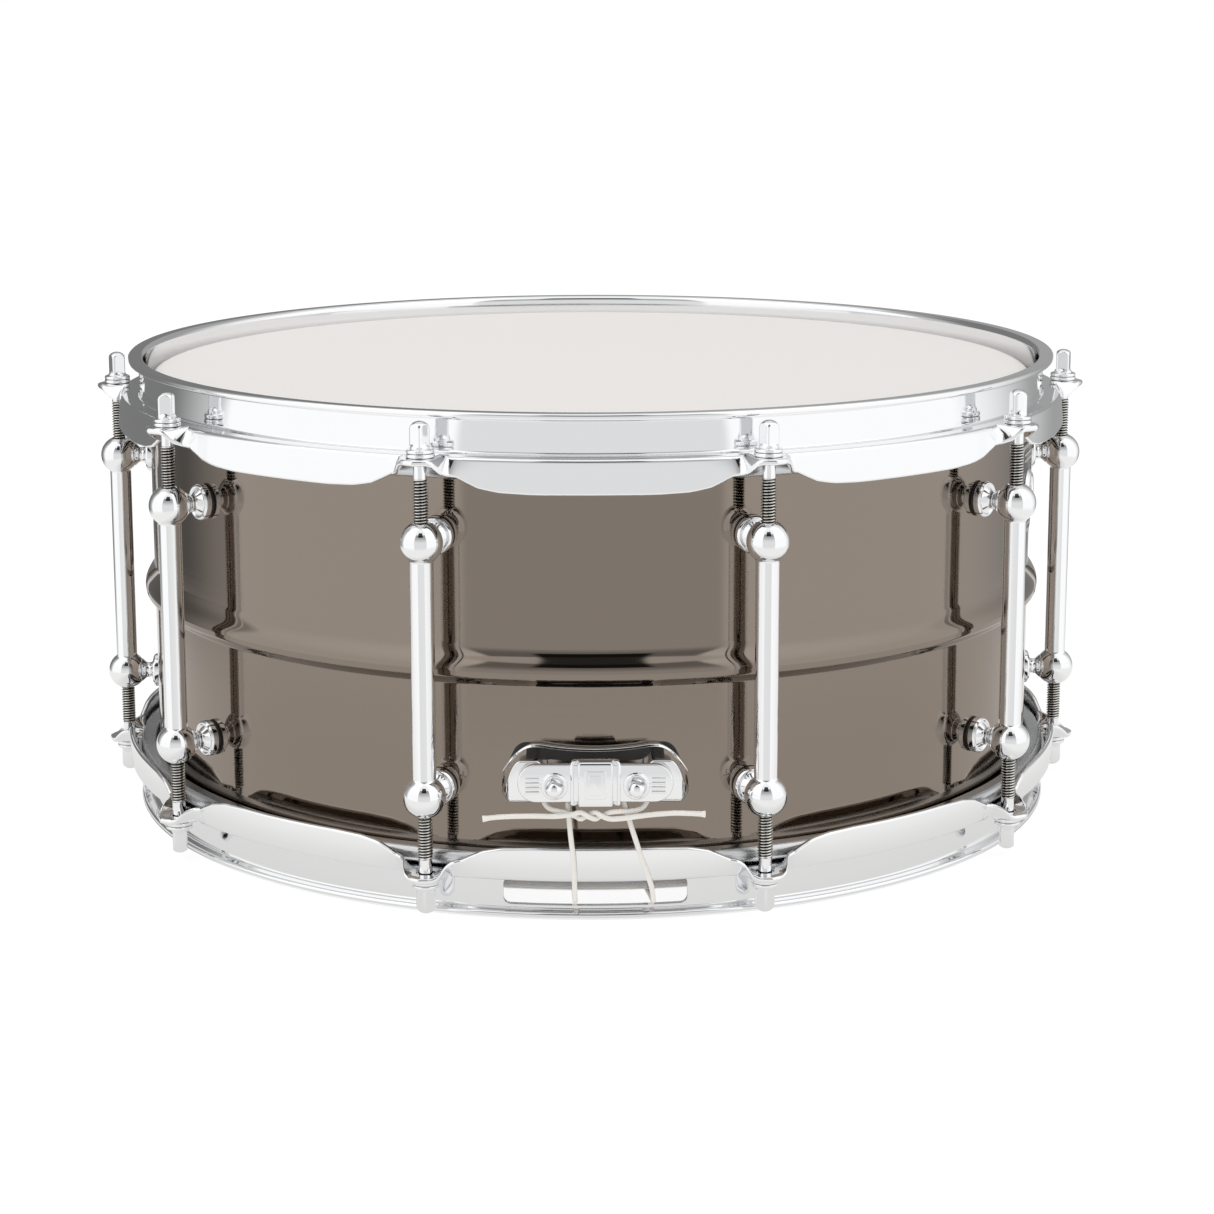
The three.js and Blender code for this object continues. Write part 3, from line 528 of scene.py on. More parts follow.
VENT_AZIMUTH = math.degrees(math.atan2(middle("badge")[0], -middle("badge")[1]))
VENT_Z = middle("vent_grommet")[2]
make("shell_body", [shell()], [black_nickel], "drum", ["shell"])


# ---- heads ----
def film(top):
    bend = [
        (0, top), (120, top), (EDGE_R - 6, top), (EDGE_R + 0.4, top, 6), (COLLAR_R + 0.3, top - 4.6, 5),
        (COLLAR_R + 0.3, SHOULDER - SHEET + 0.3),
    ]
    outer = fillet(bend, 8)
    inner = [(max(r - 0.28, 0), z - (0.28 if r < EDGE_R + 2 else 0)) for r, z in outer[::-1]]
    return [*outer, *inner]


def flesh():
    outline = [
        (179.0, FLESH_LOW, 1.2), (FLESH_OUT, FLESH_LOW, 2.2), (FLESH_OUT, FLESH_TOP, 2.6),
        (179.0, FLESH_TOP, 0.8),
    ]
    return fillet(outline, 6)


for head, flesh_name, material, as_profile in [
    ("batter_head", "batter_flesh_hoop", coated_film, lambda p: p),
    ("snare_head", "snare_flesh_hoop", clear_film, flip),
]:
    make(head + "_film", [lathe(as_profile(film(FILM_TOP)), 360)], [material], "drum", [head])
    make(flesh_name + "_channel", [lathe(as_profile(flesh()), 360)], [aluminium], "drum", [flesh_name])


# ---- hoops ----
def hoop_section(azimuth):
    spacing = 360 / len(AZIMUTHS)
    off = (azimuth - AZIMUTHS[0] + spacing / 2) % spacing - spacing / 2
    distance = abs(math.radians(off)) * ROD_R
    bend = math.radians(np.interp(distance, FLANGE[:, 0], FLANGE[:, 1]))
    length = np.interp(distance, FLANGE[:, 0], FLANGE[:, 2])
    root = EAR_ROOT_R + SKIRT_OUT * math.sin(bend)
    tip_r, tip_z = root + length * math.cos(bend), SHOULDER - length * math.sin(bend)
    inner = WALL_R - SHEET
    points = [
        (inner, HEIGHT, 2.3), (RIM_R, HEIGHT, 1.2), (RIM_R, HEIGHT - RIM_EDGE, 1.2),
        (WALL_R, HEIGHT - RIM_EDGE - 0.1, 0.8), (WALL_R, SHOULDER, 1.2), (root, SHOULDER, 1.7),
        (tip_r, tip_z, 0.95), (tip_r - SHEET * math.sin(bend), tip_z - SHEET * math.cos(bend), 0.95),
        (root - SHEET * math.tan(bend / 2), SHOULDER - SHEET, 0.8), (inner, SHOULDER - SHEET, 1.3),
    ]
    return fillet(points)


def hoop_stations():
    """Azimuths round a hoop, closer together at the ears, where the flange bends."""
    half = math.radians(180 / len(AZIMUTHS)) * ROD_R
    distances = np.concatenate([np.arange(0, 14, 0.5), np.linspace(14, half, 25)])
    offsets = np.degrees(np.concatenate([-distances[:0:-1], distances[:-1]]) / ROD_R)
    return np.concatenate([AZIMUTHS[0] + i * 360 / len(AZIMUTHS) + offsets for i in range(len(AZIMUTHS))])


def hoop(name, is_bottom):
    rows = []
    for azimuth in hoop_stations():
        radius, height = hoop_section(azimuth).T
        rows.append(round_z(radius, math.radians(azimuth), height))
    verts, faces, material = loft(rows, closed=True)
    ear = SHOULDER - SHEET / 2
    if is_bottom:
        verts[:, 2] = HEIGHT - verts[:, 2]
        ear = HEIGHT - ear
    obj = make(name + "_steel", [(verts, faces, material)], [chrome], "drum", [name])
    tools = []
    for a in AZIMUTHS:
        drill = disc(HOLE_R, ear - 4, ear + 4, 32)
        tools.append(turned(moved(drill, Matrix.Translation((0, -ROD_R, 0))), a))
    if is_bottom:
        half, low, high = GATE
        gate = slab(rounded_box(-half, half, low, high, 2.5), -187, -174)
        tools += [gate, turned(gate, 180)]
    cut(obj, tools)


hoop("top_hoop", False)
hoop("bottom_hoop", True)


# ---- lugs ----
def lug_shapes():
    """Drawn round the rod's axis, with the shell towards +Y. Two balls, a tube and two posts."""
    mouth = 2.95
    first = math.degrees(math.asin((mouth + 0.35) / BALL_R))
    last = 180 - math.degrees(math.asin((TUBE_R + 0.3) / BALL_R))
    ball = [
        (BALL_R * math.sin(math.radians(t)), BALL_UP + BALL_R * math.cos(math.radians(t)))
        for t in np.linspace(first, last, 40)
    ]
    rim = BALL_UP + BALL_R * math.cos(math.radians(first))
    half = [(mouth, BALL_UP - 8), (mouth, rim - 0.25), (mouth + 0.15, rim + 0.02), *ball]
    half += [(TUBE_R + 0.05, BALL_UP - 6.55), (TUBE_R, BALL_UP - 6.9)]
    lower = [(r, -z) for r, z in half[::-1]]
    barrel = moved(lathe([*half, *lower], 64), Matrix.Translation((0, 0, MID)))
    reach = ROD_R - SHELL_R
    post = [
        (0, 5.4), (4.8, 5.4, 0.2), (4.6, 6.4, 0.8), (3.0, 8.1, 1.6), (3.0, 9.8, 1.6), (4.9, 11.7, 1.2),
        (5.2, 11.7, 0.2), (5.7, 11.2, 0.35), (6.2, 11.2, 0.4), (6.75, 12.0, 0.4), (6.75, reach - 0.75, 0.3),
        (0, reach - 0.75),
    ]
    posts = [along_y(lathe(fillet(post), 56), z=MID + s * BALL_UP) for s in (-1, 1)]
    gasket = disc(6.55, reach - 0.8, reach + 0.35, 48, (0.2, 0), material=1)
    return [barrel, *posts, *[along_y(gasket, z=MID + s * BALL_UP) for s in (-1, 1)]]


def key_head(levels, half, flare, dome, steps):
    """A square bar along +Z, flared at its base and turned to a dome at its end.

    flare is its radius at the base, how much that shrinks and over what height.
    dome is the dome's radius, its height and its power.
    """
    angles = circle(steps)
    square = half / (np.abs(np.cos(angles)) ** 8 + np.abs(np.sin(angles)) ** 8) ** (1 / 8)
    rows = []
    for z in levels:
        wide = flare[0] - flare[1] * (1 - (1 - min((z - levels[0]) / flare[2], 1)) ** 2)
        left = min(1.0, (levels[-1] - z) / dome[1])
        cap = dome[0] * math.sqrt(max(0.0, 1 - (1 - left) ** dome[2]))
        rows.append(round_z(np.minimum(np.maximum(square, wide), max(cap, 0.3)), angles, z))
    return loft(rows)


def rod_shapes():
    """A top tension rod round its own axis: thread, plain neck, washer, collar and square key head."""
    thread_top, thread_low, pitch = 157.8, 139.5, THREAD_PITCH
    up = np.arange(thread_low, thread_top + 1e-6, pitch / 10)
    turns = circle(32)
    phase = (up[:, None] / pitch - turns[None, :] / (2 * math.pi)) % 1
    wave = np.clip(1.15 * np.abs(2 * phase - 1) - 0.05, 0, 1)
    fade = np.clip((thread_top - up) / (1.5 * pitch), 0, 1)[:, None]
    radii = 2.45 + fade * (0.72 * wave - 0.42)
    thread = loft([round_z(row, turns, z) for z, row in zip(up, radii)], material=1)
    ear = SHOULDER
    neck = disc(2.42, thread_top - 0.4, ear + 1, 32)
    low, high = ear + 0.1, ear + 1.5
    washer = fillet([(2.6, low, 0.1), (5.15, low, 0.45), (5.15, high, 0.45), (2.6, high, 0.1)], 4)
    collar_low, collar_top = ear + 1.62, ear + 2.75
    collar = [
        (0, collar_low), (5.05, collar_low, 0.4), (5.05, collar_top, 0.4),
        (4.3, collar_top + 0.35, 0.6), (0, collar_top + 0.35),
    ]
    low_part, top_part = np.linspace(0, 0.62, 22), 1 - 0.36 * (1 - np.linspace(0, 1, 20)) ** 1.8
    up = np.concatenate([low_part, top_part]) * (ROD_TOP - collar_top)
    head = key_head(collar_top + up, 2.68, (4.45, 2.1, 3.6), (3.5, 3.0, 2.1), 72)
    return [thread, neck, lathe(washer, 48), lathe(fillet(collar, 4), 48), head]


lug_mesh = mesh_of("lug", lug_shapes(), [chrome, rubber])
rod_mesh = mesh_of("tension_rod", rod_shapes(), [chrome, thread_steel], sharp=40)
HEAD_TURNS = [38, 12, 71, 50, 23, 66, 5, 31, 84, 47]
for i, number in enumerate(NUMBERS):
    lug_at = Matrix.Rotation(math.radians(AZIMUTHS[i]), 4, "Z")
    lug_at = lug_at @ Matrix.Translation((0, -ROD_R * 0.001, 0))
    place(f"tube_lug_{number}", lug_mesh, "drum", [f"lug_{number}"], lug_at)
    for where, turn in (("top", HEAD_TURNS[i]), ("bottom", HEAD_TURNS[-1 - i])):
        node = f"{where}_rod_{number}"
        x, y = middle(node)[:2] * 0.001
        upside = Matrix.Identity(4) if where == "top" else Matrix.Rotation(math.pi, 4, "X")
        at = Matrix.Translation((x, y, 0 if where == "top" else HEIGHT * 0.001))
        at = at @ Matrix.Rotation(math.radians(turn), 4, "Z") @ upside
        place(f"key_{node}", rod_mesh, node, [node], at)


# ---- badge and vent ----
def curved_plate(outline, inner, outer, bevel, material=0):
    """An outline of (arc, height) points, wrapped round the drum at the badge."""
    columns = []
    centre = outline.mean(0)
    rings = [(0.0, inner), (0.0, outer - bevel), (bevel * 0.3, outer - bevel * 0.3), (bevel, outer)]
    for inset, radius in rings:
        to_centre = centre - outline
        distance = np.linalg.norm(to_centre, axis=1)[:, None]
        columns.append((outline + to_centre / distance * inset, radius))
    for share in np.linspace(0.12, 0.98, 9):
        columns.append((columns[3][0] * (1 - share) + centre * share, outer))
    sections = []
    for points, radius in columns:
        a = math.radians(VENT_AZIMUTH) + points[:, 0] / SHELL_R
        sections.append(round_z(radius, a, points[:, 1] + VENT_Z))
    return loft(sections, material)


face_r = SHELL_R + 1.0
badge_shapes = [
    curved_plate(rounded_box(-12, 12, -18, 18, 5, 10), SHELL_R + 0.05, face_r, 0.25),
    curved_plate(rounded_box(-10.3, 10.3, -16.3, 16.3, 3.6, 10), face_r - 0.2, face_r + 0.03, 0.05, 1),
]
for z in (-14.2, -11.8, 11.8, 14.2):
    bar = rounded_box(-7.5, 7.5, z - 0.55, z + 0.55, 0.5, 5)
    badge_shapes.append(curved_plate(bar, face_r - 0.2, face_r + 0.2, 0.12))
make("badge_plate", badge_shapes, [badge_metal, dark_enamel], "drum", ["badge"])
vent_inner = SHELL_R - SHELL_WALL
grommet = fillet(
    [
        (4.2, vent_inner - 1.4, 0.7), (4.2, face_r + 1.6, 1.2), (6.2, face_r + 1.6, 1.0),
        (7.8, face_r + 0.25, 0.4), (7.8, face_r - 0.1, 0.1), (5.2, face_r - 0.1, 0.1),
        (5.2, vent_inner - 0.2, 0.1), (7.2, vent_inner - 0.2, 0.3), (6.6, vent_inner - 1.4, 0.5),
    ],
    5,
)
# The profile's heights are radii of the drum here: +Z becomes outwards at the front.
outwards = Matrix.Translation((0, 0, VENT_Z)) @ Matrix.Rotation(math.pi / 2, 4, "X")
grommet = moved(lathe(grommet, 56), outwards)
make("vent_ring", [turned(grommet, VENT_AZIMUTH)], [chrome_cast], "drum", ["vent_grommet"])


# ---- clamps, drawn along +Y as the strainer is ----
CLAMP_FACE, CLAMP_IN, CLAMP_OUT, SCREW_TIP = 189.0, 191.5, 194.0, 201.0
CLAMP_LOW, CLAMP_HIGH = heights("strainer_clamp_plate")
CLAMP_SCREW_Z = middle("butt_clamp_screw_left")[2]
BUTT_LOW = box_mm("butt_plate")[0][2]
BUTT_HALF = box_mm("butt_plate")[1][0] - 0.1


def key_screw(x):
    """A clamp screw at x with a round washer face and a domed square head."""
    base, dome = CLAMP_OUT + 0.5, 2.6
    tip = SCREW_TIP - dome * (1 - np.linspace(0.08, 1, 14)) ** 1.5
    levels = np.concatenate([np.linspace(base, SCREW_TIP - dome, 12), tip])
    head = key_head(levels, 2.3, (4.1, 2.0, 2.6), (3.1, dome, 2.2), 64)
    shank = disc(1.9, CLAMP_FACE - 3, base + 1, 24)
    washer = disc(4.2, base - 0.5, base + 0.5, 40, (0.3, 0.3), 4)
    return [along_y(s, x, CLAMP_SCREW_Z) for s in (shank, washer, turned(head, 20 + 9 * x))]


def clamp_bar(half, screw_x, rib_x):
    """The pressed clamp bar with a raised ring round each screw and ribs towards its ends."""
    outline = rounded_box(-half, half, CLAMP_LOW, CLAMP_HIGH, 6.6, 14)
    shapes = [slab(outline, CLAMP_IN, CLAMP_OUT, 0.5)]
    ring_profile = fillet([(3.0, 0, 0.1), (3.3, 1.9, 0.5), (4.4, 1.9, 0.6), (4.9, 0, 0.1)])
    for side in (-1, 1):
        ring_shape = moved(lathe(ring_profile, 48), Matrix.Translation((0, 0, CLAMP_OUT - 0.3)))
        shapes.append(along_y(ring_shape, side * screw_x, CLAMP_SCREW_Z))
        if rib_x:
            for z in (49.3, 50.9, 52.5, 54.1):
                x0, x1 = sorted((side * rib_x[0], side * rib_x[1]))
                rib = rounded_box(x0, x1, z - 0.5, z + 0.5, 0.45, 5)
                shapes.append(slab(rib, CLAMP_OUT - 0.2, CLAMP_OUT + 0.45, 0.3))
    return shapes


DARK_SHEET_HALF = 24.5


def butt_casting():
    """Sections across the casting, from one wing to the other: a face, a sloping ledge and a raised back.

    A thin dark sheet lies on the ledge: painted shade for the dark recess there.
    """
    half = BUTT_HALF
    sections, dark_ledge_sheet = [], []
    wing_x = np.linspace(26, half, 34)
    for x in np.concatenate([-wing_x[::-1], np.linspace(-25.5, 25.5, 103), wing_x]):
        u = abs(x)
        seat = math.sqrt(SHELL_R**2 - x * x) + 0.35
        wing = np.clip((u - 15.5) / 4.5, 0, 1) ** 2
        slope = np.clip((u - 25.8) / (half - 25.8), 0, 1)
        round_off = 1 - slope**2.2
        shoulder = np.clip((u - 21) / (half - 21), 0, 1)
        back = BUTT_LOW + (16.7 + 1.5 * np.clip(u / 19, 0, 1) ** 2) * (1 - 0.55 * shoulder**2)
        face_top = BUTT_LOW + (12.9 + 1.9 * wing) * max(0.3, round_off)
        face = CLAMP_FACE - 5.2 * np.clip((u - 29.6) / (half - 29.6), 0, 1) ** 1.6
        low = BUTT_LOW + 2.2 * np.clip((u - 28.8) / (half - 28.8), 0, 1) ** 2
        depth = face - seat
        ledge_back = back - 0.9
        section = [
            (seat, BUTT_LOW + 0.5 * (low - BUTT_LOW), 0.3),
            (seat + depth * 0.6, BUTT_LOW + 0.5 * (low - BUTT_LOW), 1.2), (face, low, 1.1),
            (face, face_top, 0.9), (face - 1.1, face_top + 0.3, 0.7),
            (seat + 0.22 * depth, ledge_back, 0.5), (seat + 0.18 * depth, back, 0.5), (seat, back, 0.3),
        ]
        outline = fillet(section, 4)
        sections.append(np.column_stack([np.full(len(outline), x), outline[:, 0], outline[:, 1]]))
        # A thin dark sheet over the middle of the ledge: painted shade in the recess.
        if u < DARK_SHEET_HALF:
            y0, y1 = face - 1.7, seat + 0.25 * depth
            z0, z1 = face_top + 0.45, ledge_back + 0.05
            dark_ledge_sheet.append([(x, y0, z0), (x, y0, z0 - 0.7), (x, y1, z1 - 0.7), (x, y1, z1 + 0.1)])
    return [loft(sections), loft(dark_ledge_sheet, material=1)]


def butt_gasket():
    """A thin dark sheet between the casting and the shell."""
    half = [(32.6, BUTT_LOW, 3), (32.6, 51, 5), (27, 62.3, 5)]
    outline = fillet([(-32.6, BUTT_LOW, 3), *half, *[(-x, z, r) for x, z, r in half[:0:-1]]], 8)
    sections = []
    centre = outline.mean(0)
    for inset, lift in ((0.0, 0.02), (0.0, 0.45), (0.6, 0.6), (0.55, 0.6)):
        points = outline + (centre - outline) / np.linalg.norm(centre - outline, axis=1)[:, None] * inset
        sections.append(
            np.column_stack([points[:, 0], np.sqrt(SHELL_R**2 - points[:, 0] ** 2) + lift, points[:, 1]])
        )
    return loft(sections)


def bracket():
    """The block in the middle of the front clamp, fluted at its sides, with a plain recessed panel."""
    low, high = heights("butt_clamp_plate")
    half = 8.7
    right = [
        (5.9, 196, 0.6), (6.2, 193.9, 0.5), (7.0, 193.1, 0.7), (7.7, 194.7, 0.4), (half, 194.4, 0.5),
        (half, 191.7, 0.3),
    ]
    plan = fillet([(-x, y, r) for x, y, r in right[::-1]] + right)
    sections = []
    edges = [(0, 0.6), (0.12, 0.25), (0.6, 0.0), (-1.5, 0.0), (-0.7, 0.25), (-0.12, 0.9), (-0.001, 1.4)]
    for up, inset in edges:
        points = plan.copy()
        points[:, 0] *= 1 - inset / half
        points[:, 1] -= inset * np.clip((points[:, 1] - 191.7) / 4.3, 0, 1)
        z = high + up if up < 0 else low + up
        sections.append(np.column_stack([points, np.full(len(points), z)]))
    panel = slab(rounded_box(-3.7, 3.7, 47.4, 57.4, 0.9, 6), 195.6, 196.3, 0.25)
    inset = slab(rounded_box(-2.5, 2.5, 48.8, 56.0, 0.6, 6), 196.0, 196.45, 0.2)
    return [loft(sections), panel, inset]


def front(shapes):
    return [turned(s, 180) for s in shapes]


make("butt_casting", front(butt_casting()), [chrome_cast, dark_enamel], "drum", ["butt_plate"])
make("butt_gasket", front([butt_gasket()]), [rubber], "drum")
make(
    "butt_clamp_bar", front([*clamp_bar(26.9, 14.2, (19.2, 24.6)), *bracket()]), [chrome_cast], "drum",
    ["butt_clamp_plate"],
)
for side in ("left", "right"):
    x = -middle(f"butt_clamp_screw_{side}")[0]
    make(f"butt_key_screw_{side}", front(key_screw(x)), [chrome], "drum", [f"butt_clamp_screw_{side}"])


# ---- snare wires and cords ----
def strand():
    """One coiled strand along +Y, round its own axis."""
    half, pitch, coil, wire = 152.0, 2.1, 0.66, 0.24
    turns = 2 * half / pitch
    count = int(turns * 9)
    t = np.linspace(0, 1, count)
    angle = 2 * math.pi * turns * t
    centre = np.column_stack([coil * np.sin(angle), -half + 2 * half * t, coil * np.cos(angle)])
    tangent = np.gradient(centre, axis=0)
    tangent /= np.linalg.norm(tangent, axis=1)[:, None]
    outwards = np.column_stack([np.sin(angle), np.zeros(count), np.cos(angle)])
    other = np.cross(tangent, outwards)
    corners = [centre + (outwards * math.cos(a) + other * math.sin(a)) * wire for a in circle(5)]
    return loft(np.stack(corners, axis=1))


strand_mesh = mesh_of("snare_strand", [strand()], [wire_steel], sharp=60)
for i in range(20):
    at = Matrix.Translation(((i - 9.5) * 0.0022, 0, 0.0056))
    place(f"snare_strand_{i + 1:02d}", strand_mesh, "snares", ["snare_wires"], at)


def end_plate():
    shapes = [
        block(-22.1, 22.1, 143, 152.5, 4.1, 4.9, 0.15), block(-22.1, 22.1, 151.7, 152.5, 3.3, 4.9, 0.15),
    ]
    for y0, y1 in ((152.0, 153.2), (159.2, 161.0)):
        shapes.append(block(-22.1, 22.1, y0, y1, 3.3, 3.9, 0.15))
    edges = [-22.1, -19.6, -16.4, -9.6, -6.4, 6.4, 9.6, 16.4, 19.6, 22.1]
    for a, b in zip(edges[::2], edges[1::2]):
        shapes.append(block(a, b, 153.0, 159.4, 3.3, 3.9, 0.15))
    solder = lathe([(0, 0), (0.95, 0.2), (0.95, 3.0), (0.4, 3.6), (0, 3.7)], 12)
    return shapes + [along_y(solder, (i - 9.5) * 2.2, 5.5, 148.6) for i in range(20)]


for name, turn in (("front", 180), ("back", 0)):
    shapes = [turned(s, turn) for s in end_plate()]
    make(f"snare_end_plate_{name}", shapes, [steel], "snares", ["snare_wires"])



def mirrored(points):
    return [(-x, y, z) for x, y, z in reversed(points)]


FRONT_LOOP = [
    (16.6, -191.2, 43.3), (18.1, -190.3, 45.8), (18.6, -190.2, 50), (17.4, -190.2, 54.6),
    (13.8, -190.2, 56.2), (10.2, -190.2, 54.6), (9.2, -190.2, 50.4), (9.6, -190.3, 46),
]
FRONT_CORD = [
    (-39, -192.6, 39.6), (-34, -193, 40.3), (-28, -193.4, 40.7), (-21, -193.9, 40.9), (-14, -194.6, 41),
    (-9, -195, 41.6), (-5, -194.4, 42.2), (-2.5, -195.5, 41.1), (0, -194.4, 40), (2.5, -193.3, 41.1),
    (5, -194.2, 42.2), (8, -193.9, 42.4), (11.2, -193.1, 42.2), (14.2, -192.3, 42.4), *FRONT_LOOP,
    (10.6, -191.2, 42.4), (12.2, -192.1, 37), (13.8, -192.5, 32), (15.2, -192.5, 27.5),
    (17, -192.1, 22), (18.7, -191.5, 17), (19.7, -190.3, 12.8), (20.2, -187, 8.5), (20.3, -182.5, 6.2),
    (19.8, -176.5, 5.6), (18.8, -170, 5.6), (18, -165, 5.5), (18, -160.5, 5.5), (18, -157.8, 4.3),
    (18, -155.2, 3.1), (18, -152.6, 1.95), (17, -149, 1.8), (14, -146.9, 1.8), (9, -146.4, 1.8),
    (5, -146.2, 1.8), (1, -146.4, 1.8), (-4, -146.9, 1.8), (-7, -149, 1.8), (-8, -152.6, 1.95),
    (-8, -155.2, 3.1), (-8, -157.8, 4.3), (-8, -160.5, 5.5), (-7.8, -165, 5.5), (-7.5, -170, 5.6),
    (-7.3, -176.5, 5.6), (-7.2, -182.5, 6.2), (-7.2, -187, 8.5), (-7.3, -190.3, 12.8),
    (-7.4, -191.5, 17), (-7.6, -192.1, 22), (-8, -192.5, 27.5), (-8.5, -192.5, 32), (-9, -192.1, 37),
    (-9.4, -191.2, 42.4), *mirrored(FRONT_LOOP), (-14, -192.3, 42.4), (-10, -193, 41.7),
    (-7, -193.2, 40.6), (-5, -193.9, 39.9), (-2.5, -193.3, 41.1), (0, -194.4, 42.2), (2.5, -195.5, 41.1),
    (5, -194.6, 40), (9, -194.9, 40.2), (14, -195, 40.9), (20, -194.6, 41.5), (27, -193.8, 41.7),
    (33, -193, 41.3), (38, -192.6, 40.9),
]
BACK_SIDE = [
    (13, 191, 43.4), (14, 190.3, 46), (14.2, 190.3, 50), (12.8, 190.3, 54), (9, 190.3, 55.8),
    (5.2, 190.3, 54), (4.2, 190.3, 50), (4.6, 190.4, 46), (5.2, 191.2, 42.4), (5.9, 192.1, 37),
    (6.5, 192.5, 32), (7, 192.5, 27.5), (7.5, 192.1, 22), (7.8, 191.5, 17), (8, 190.3, 12.8),
    (8, 187, 8.5), (8, 182.5, 6.2), (8, 176.5, 5.6), (8, 170, 5.6), (8, 165, 5.5), (8, 160.5, 5.5),
    (8, 157.8, 4.3), (8, 155.2, 3.1), (8, 152.6, 1.95), (7, 149, 1.8), (4, 147, 1.8),
]
BACK_CORD = [
    (-31, 193, 35.6), (-25, 193.6, 36.9), (-18, 194.2, 37.8), (-12, 194.8, 38.2), (-8, 195, 38.7),
    (-5, 194.4, 39.3), (-2.5, 195.5, 38.2), (0, 194.4, 37.1), (2.5, 193.3, 38.2), (5, 194.3, 39.3),
    (8, 193.7, 40.2), (11, 192.2, 42), *BACK_SIDE, (0, 146.6, 1.8), *mirrored(BACK_SIDE),
    (-11, 192.2, 41.6), (-8.6, 193, 39.4), (-5, 193.9, 37), (-2.5, 193.3, 38.2), (0, 194.4, 39.3),
    (2.5, 195.5, 38.2), (5, 194.6, 37.1), (9, 194.9, 37), (14, 194.8, 37.2), (20, 194.2, 36.8),
    (26, 193.4, 35.8), (31, 192.8, 34.6),
]


def braid(ends):
    """The radius of a braided cord, with its cut ends slightly swollen by melting."""

    def radius_at(at, angle):
        length = at.max()
        weave = np.cos(5 * angle + at * 3.1) * np.cos(5 * angle - at * 3.1)
        swell = sum(np.exp(-(((at - e * length) / 1.3) ** 2)) for e in ends) * 0.28
        return 0.9 + 0.06 * weave + swell

    return radius_at


def cord_piece(name, points, node, pair, start, end, ends=()):
    length = np.linalg.norm(np.diff(np.array(points), axis=0), axis=1).sum()
    shape = tube(points, max(24, int(length * 4)), 20, braid(ends))
    obj = make(name, [shape], [cord_white], None, sharp=80, slot="cord")
    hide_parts(node)
    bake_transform(obj)


FRONT_PAIR = (("drum", "snares"), (0, -178, 6), (0, -162, 6))
cord_piece("snare_cord_front_braid", FRONT_CORD, "snare_cord_front", *FRONT_PAIR, (0, 1))

# The back cord is cut into stretches, each listed with the two bodies it runs between.
under_clamp = [i for i, p in enumerate(BACK_CORD) if p[2] < 30]
inside_hoop = [i for i, p in enumerate(BACK_CORD) if p[1] < 184]
first_low, last_low = under_clamp[0], under_clamp[-1]
first_in, last_in = inside_hoop[0], inside_hoop[-1]
UPPER = (("carriage", "slide"), (0, 190, 42), (0, 190, 36))
LOWER = (("slide", "drum"), (0, 190, 26), (0, 190, 15))
WIRES = (("drum", "snares"), (0, 178, 6), (0, 162, 6))
for name, points, span, ends in [
    ("upper_left", BACK_CORD[: first_low + 1], UPPER, (0,)),
    ("lower_left", BACK_CORD[first_low : first_in + 1], LOWER, ()),
    ("wires", BACK_CORD[first_in : last_in + 1], WIRES, ()),
    ("lower_right", BACK_CORD[last_in : last_low + 1], LOWER, ()),
    ("upper_right", BACK_CORD[last_low:], UPPER, (1,)),
]:
    cord_piece(f"snare_cord_back_{name}", points, "snare_cord_back", *span, ends)


# ---- strainer ----
RAIL_X, RAIL_OUT_X, SLIDE_X = 12.2, 15.5, 11.8
PIVOT_Y, PIVOT_Z = middle("lever_pivot_pin")[1:]
PLATE_IN, PLATE_OUT, SLIDE_IN, NOSE_OUT = 182.3, 185.3, 185.7, 197.5
KNOB_Y = middle("tension_knob")[1]
KNOB_LOW, KNOB_HIGH, KNOB_R = 66.6, 72.4, 7.4


def side_plate(points, x0, x1, bevel=0.5):
    """A (y, z) outline made solid from x0 to x1."""
    verts, faces, material = slab(fillet(points), x0, x1, bevel)
    return verts[:, [1, 0, 2]], faces, material


def turned_along_x(profile, steps):
    shape = lathe(profile, steps)
    return moved(shape, Matrix.Translation((0, PIVOT_Y, PIVOT_Z)) @ Matrix.Rotation(math.pi / 2, 4, "Y"))


rail = [
    (PLATE_OUT - 0.5, 57.5, 0.5), (190.5, 57.5, 1.2), (190.5, 88.5, 2.5), (196.4, 92, 3.5),
    (196.4, 106, 4.5), (PLATE_OUT - 0.5, 108.5, 1.0),
]
base_shapes = [slab(rounded_box(-17, 17, 46, 110, 5, 10), PLATE_IN, PLATE_OUT, 0.6)]
for side in (-1, 1):
    x0, x1 = sorted((side * RAIL_X, side * RAIL_OUT_X))
    base_shapes.append(side_plate(rail, x0, x1))
for z in (54, 104):
    base_shapes.append(slab(rounded_box(-8, 8, z - 5, z + 5, 2.5), SHELL_R + 0.1, PLATE_IN + 0.5, 0.4))
    base_shapes.append(slab(rounded_box(-9, 9, z - 6, z + 6, 3), SHELL_R - 0.4, SHELL_R + 0.5, 0.2, 1))
make("strainer_frame", base_shapes, [chrome_cast, rubber], "drum", ["strainer_base"])

boss = fillet([(2.2, -SLIDE_X, 0.1), (5.6, -SLIDE_X, 0.7), (5.6, SLIDE_X, 0.7), (2.2, SLIDE_X, 0.1)])
handle = [(6.5, PIVOT_Z, 0.2), (5, 133, 6), (7.2, 141, 6), (4.6, 148, 5)]
handle = [(-6.5, PIVOT_Z, 0.2), *handle, *[(-x, z, r) for x, z, r in handle[:0:-1]]]
lever_shapes = [
    turned_along_x(boss, 56), slab(fillet(handle, 8), PIVOT_Y + 1, PIVOT_Y + 5, 1.3, segments=5),
    slab(rounded_box(-3.4, 3.4, 107, 130, 3.2, 8), PIVOT_Y + 4.6, PIVOT_Y + 5.45, 0.4, 1),
]
for z in (137, 139.2, 141.4, 143.6):
    grip = rounded_box(-3.8, 3.8, z - 0.5, z + 0.5, 0.45, 4)
    lever_shapes.append(slab(grip, PIVOT_Y + 4.8, PIVOT_Y + 5.5, 0.25))
